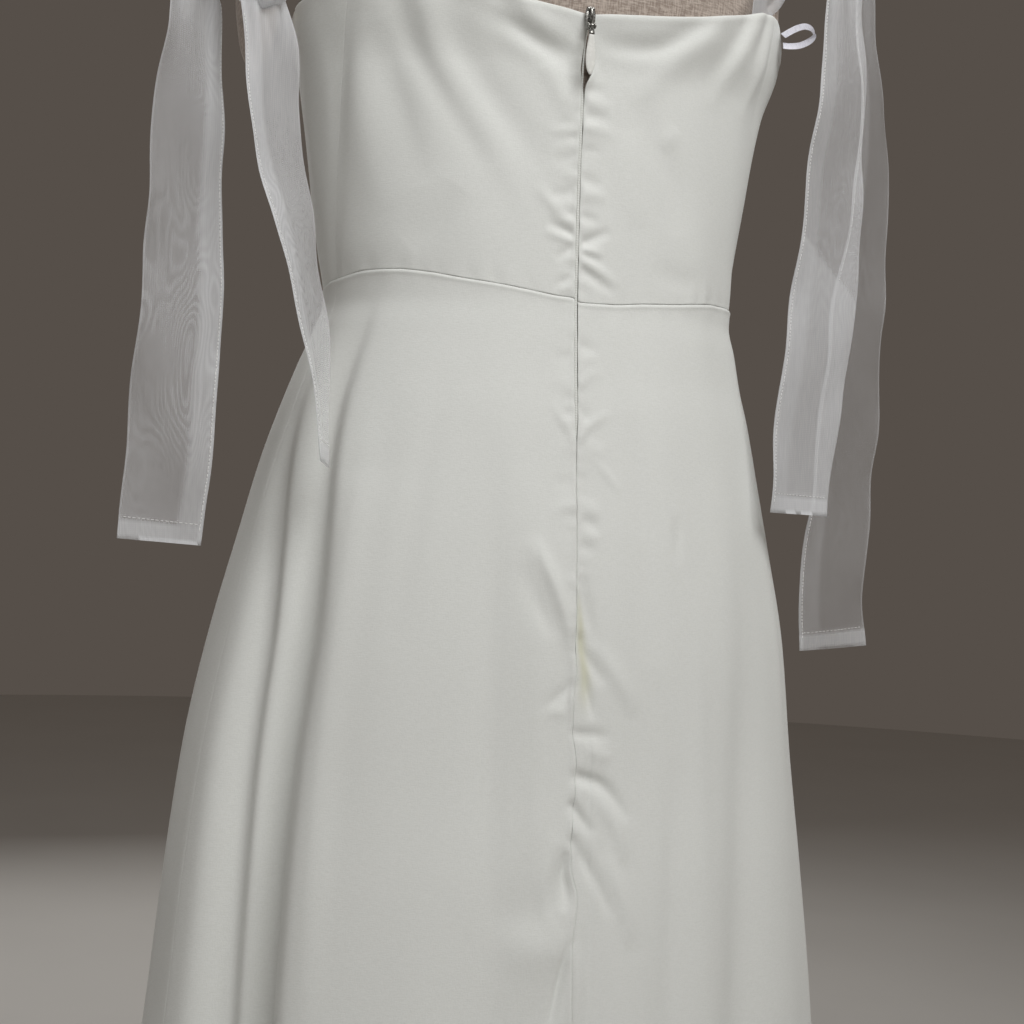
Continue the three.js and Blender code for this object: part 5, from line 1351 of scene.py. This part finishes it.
def strap(name, foot, side, rows, node, seed):
    phi, foot_width = side * foot[0], foot[1]
    inside = -3.5
    low, high = top_edge(phi) - 14, top_edge(phi) + 5
    path, across = [], []
    for dz in np.linspace(low, high, 4):
        per = np.linalg.norm(gown(phi + 0.5, dz) - gown(phi - 0.5, dz))
        half = foot_width / 2 / per
        a, b = gown(phi + side * half, dz, inside), gown(phi - side * half, dz, inside)
        path.append([*gown(phi, dz, inside), foot_width])
        across.append((a - b) / np.linalg.norm(a - b))
    direction = across[-1]
    for k, row in enumerate(rows):
        before = np.array(path[-1][:3])
        here = np.array([row[0], row[1], WAIST_Z + row[2]])
        run = (here - before) / np.linalg.norm(here - before)
        if len(row) > 4:
            direction = np.array([side * row[4], row[5], row[6]])
        direction = direction - run * (direction @ run)
        direction = direction / np.linalg.norm(direction)
        path.append([*here, row[3]])
        across.append(direction)
    path = np.hstack([np.array(path), np.array(across)])
    fine, s, total = along_path(path, 2.4)
    middle, width = fine[:, :3], fine[:, 3]
    tangent = np.gradient(middle, axis=0)
    tangent /= np.linalg.norm(tangent, axis=1, keepdims=True)
    wide = fine[:, 4:7]
    wide = wide - tangent * (wide * tangent).sum(1, keepdims=True)
    wide /= np.linalg.norm(wide, axis=1, keepdims=True)
    normal = np.cross(tangent, wide)
    rng = np.random.default_rng(seed)
    ph = rng.random(5) * 2 * math.pi
    gather = np.clip((TIE_WIDTH - width) / TIE_WIDTH, 0, 1)
    free = np.clip((s - 16) / 18, 0, 1)

    def shape(k, q):
        return free[k] * gather[k] * (1.9 * np.sin(6.2 * q + ph[0] + s[k] / 60) + 1.0 * np.sin(11 * q + ph[1] - s[k] / 35))

    def thick(k, q):
        return 0.34 + 0 * q

    def dense(k, q):
        return np.clip(0.4 + 0.9 * gather[k] + 0.5 * np.exp(-((1 - np.abs(q)) / 0.05) ** 2), 0, 1.5)

    o = flat_tube(name, middle, wide, normal, width, shape, thick, dense, ORGANZA, cols=30)
    dress(o, "gown", "organza", node)
    return o


straps = {
    "strap_back_left": strap("strap_back_left_cloth", STRAP_FOOT_BACK, 1, STRAP_BACK_LEFT, "strap_back_left", 51),
    "strap_back_right": strap("strap_back_right_cloth", STRAP_FOOT_BACK, -1, STRAP_BACK_RIGHT, "strap_back_right", 52),
    "strap_front_left": strap("strap_front_left_cloth", STRAP_FOOT_FRONT, 1, STRAP_FRONT_LEFT, "strap_front_left", 53),
    "strap_front_right": strap("strap_front_right_cloth", STRAP_FOOT_FRONT, -1, STRAP_FRONT_RIGHT, "strap_front_right", 54),
}


def hanger_loop():
    root = gown(LOOP_PHI, LOOP_DZ)
    flat = np.array([root[0], root[1], 0]) / math.hypot(root[0], root[1])
    reach = flat * 0.3 + np.array([0.951, -0.309, 0]) * 0.7
    reach /= np.linalg.norm(reach)
    wide = np.array([-reach[1] * 0.6, reach[0] * 0.6, 0.8])
    wide /= np.linalg.norm(wide)
    path = np.array([root + reach * (out + 2.2) + np.array([0, 0, rise]) for out, rise in LOOP_PATH])
    fine = smooth_line(path, 8)
    tangent = np.gradient(fine, axis=0)
    tangent /= np.linalg.norm(tangent, axis=1, keepdims=True)
    across = wide - tangent * (tangent @ wide)[:, None]
    across /= np.linalg.norm(across, axis=1, keepdims=True)
    normal = np.cross(tangent, across)
    width = np.full(len(fine), LOOP_WIDTH)
    o = flat_tube("hanger_loop_ribbon", fine, across, normal, width, lambda k, s: 0.35 * (s * s) - 0.1, lambda k, s: 0.22 + 0 * s,
                  lambda k, s: 0 * s, SATIN, cols=14)
    return dress(o, "gown", "satin", "hanger_loop")


loop = hanger_loop()


# ------------------------------------------------------------------ dress form
def form_torso():
    source = frame["nodes"]["form_torso"]
    work = source.copy()
    work.data = source.data.copy()
    work.parent = None
    work.hide_render = work.hide_viewport = False
    work.name = "torso_work"
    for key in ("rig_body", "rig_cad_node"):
        if key in work:
            del work[key]
    bpy.context.scene.collection.objects.link(work)
    remesh = work.modifiers.new("remesh", "REMESH")
    remesh.mode, remesh.voxel_size = "VOXEL", 0.0036
    smooth = work.modifiers.new("smooth", "SMOOTH")
    smooth.factor, smooth.iterations = 0.5, 14
    bpy.context.view_layer.update()
    graph = bpy.context.evaluated_depsgraph_get()
    mesh = bpy.data.meshes.new_from_object(work.evaluated_get(graph))
    bpy.data.objects.remove(work)
    co = np.empty(len(mesh.vertices) * 3)
    mesh.vertices.foreach_get("co", co)
    co = co.reshape(-1, 3)
    right = np.clip((co[:, 0] - 0.105) / 0.05, 0, 1)
    right = right * right * (3 - 2 * right) * np.exp(-((co[:, 2] - (WAIST_Z + 160) * MM) / 0.075) ** 4)
    co[:, 0] -= 0.005 * right
    mesh.vertices.foreach_set("co", co.ravel())
    mesh.materials.clear()
    mesh.materials.append(LINEN)
    mesh.polygons.foreach_set("use_smooth", np.ones(len(mesh.polygons), bool))
    o = bpy.data.objects.new("form_torso_linen", mesh)
    bpy.context.scene.collection.objects.link(o)
    return dress(o, "gown", "linen", "form_torso")


form_torso()
cap_profile = [(0.5, 0), (54, 0), (56.5, 0.6), (57.8, 2), (58, 4), (58, 7), (57.4, 8.6), (55.5, 10.2), (52, 11.8), (44, 13.8),
               (34, 16), (22, 18), (15, 19.2), (12.4, 20.6), (11.6, 22), (12, 24), (12.8, 26), (12.4, 28), (10.6, 30), (7.5, 31.3),
               (3.5, 31.9), (0.4, 32)]
dress(lathe("form_neck_cap_wood", cap_profile, (0, 1.5, WAIST_Z + TORSO_TOP_DZ + SEAM_GAP), WOOD), "gown", "black_wood", "form_neck_cap")
pole_low, pole_high = BASE_HEIGHT + 22 + SEAM_GAP, WAIST_Z + TORSO_BOTTOM_DZ - SEAM_GAP
pole_profile = [(0.5, pole_low), (14.8, pole_low), (15.8, pole_low + 0.6), (16, pole_low + 1.6), (16, pole_low + 300), (16, pole_high - 320),
                (16, pole_high - 1.6), (15.8, pole_high - 0.6), (14.8, pole_high), (0.5, pole_high)]
dress(lathe("form_pole_metal", pole_profile, (0, 0, 0), IRON), "gown", "black_metal", "form_pole")
base_profile = [(0.5, 0), (147.2, 0), (148.6, 0.5), (149.6, 1.6), (150, 3), (150, 7), (149.2, 8.8), (147, 10.2), (142, 11.9), (120, 12.9),
                (90, 14.3), (60, 15.8), (46, 16.8), (38, 18.2), (33.5, 19.4), (30, 21.2), (27.6, 23.6), (26.2, 27), (25.4, 32), (25, 36.6),
                (24.4, 37.7), (23.4, 38), (0.5, 38)]
dress(lathe("form_base_wood", base_profile, (0, 0, 0), WOOD, 128), "gown", "black_wood", "form_base")

# ------------------------------------------------------------------ cloth sizes
FLAT = {
    "bodice_back_left": ((0.150, 0.190), 0.0240), "bodice_back_right": ((0.150, 0.190), 0.0245),
    "bodice_front": ((0.535, 0.215), 0.0860), "skirt_back_left": ((0.355, 1.070), 0.288),
    "skirt_back_right": ((0.320, 1.070), 0.260), "skirt_front": ((0.980, 1.070), 0.750),
}
for key, piece in panels.items():
    size, area = FLAT[key]
    "draped" if "skirt" in key else "stretched"

# ------------------------------------------------------------------ studio
bpy.ops.mesh.primitive_circle_add(vertices=96, radius=7.0, fill_type="NGON", location=(0, 0, -0.0008))
floor = bpy.context.object
floor.name = "studio_floor"
floor.data.materials.append(floor_material())


def area_light(name, azimuth, elevation, distance, width, height, watts, colour=(1, 1, 1), aim=(0, 0, 0.95)):
    """A soft box. Azimuth is measured from the back of the gown, positive to the right of the picture."""
    data = bpy.data.lights.new(name, "AREA")
    data.shape, data.size, data.size_y, data.energy, data.color = "RECTANGLE", width, height, watts, colour
    o = bpy.data.objects.new(name, data)
    bpy.context.scene.collection.objects.link(o)
    a, e = math.radians(azimuth), math.radians(elevation)
    target = Vector(aim)
    o.location = target + Vector((math.sin(a) * math.cos(e), -math.cos(a) * math.cos(e), math.sin(e))) * distance
    o.rotation_mode = "QUATERNION"
    o.rotation_quaternion = (target - o.location).to_track_quat("-Z", "Y")
    return o


area_light("key", 12, 43, 1.95, 1.3, 1.0, 31, (1.0, 1.0, 0.99), (0, 0, 1.12))
area_light("fill_left", -64, 4, 2.8, 1.4, 1.2, 6.2, (0.97, 0.985, 1.0), (0, 0, 0.62))
area_light("top", 0, 76, 2.6, 1.8, 1.8, 6, (1.0, 1.0, 1.0))
area_light("front_fill", 180, 20, 3.2, 2.4, 2.2, 22, (1.0, 0.995, 0.98))
world = bpy.data.worlds.new("studio")
bpy.context.scene.world = world
world.use_nodes = True
world.node_tree.nodes["Background"].inputs[0].default_value = linear(86, 79, 73)
world.node_tree.nodes["Background"].inputs[1].default_value = 1.0
bpy.context.scene.view_settings.view_transform = "Standard"
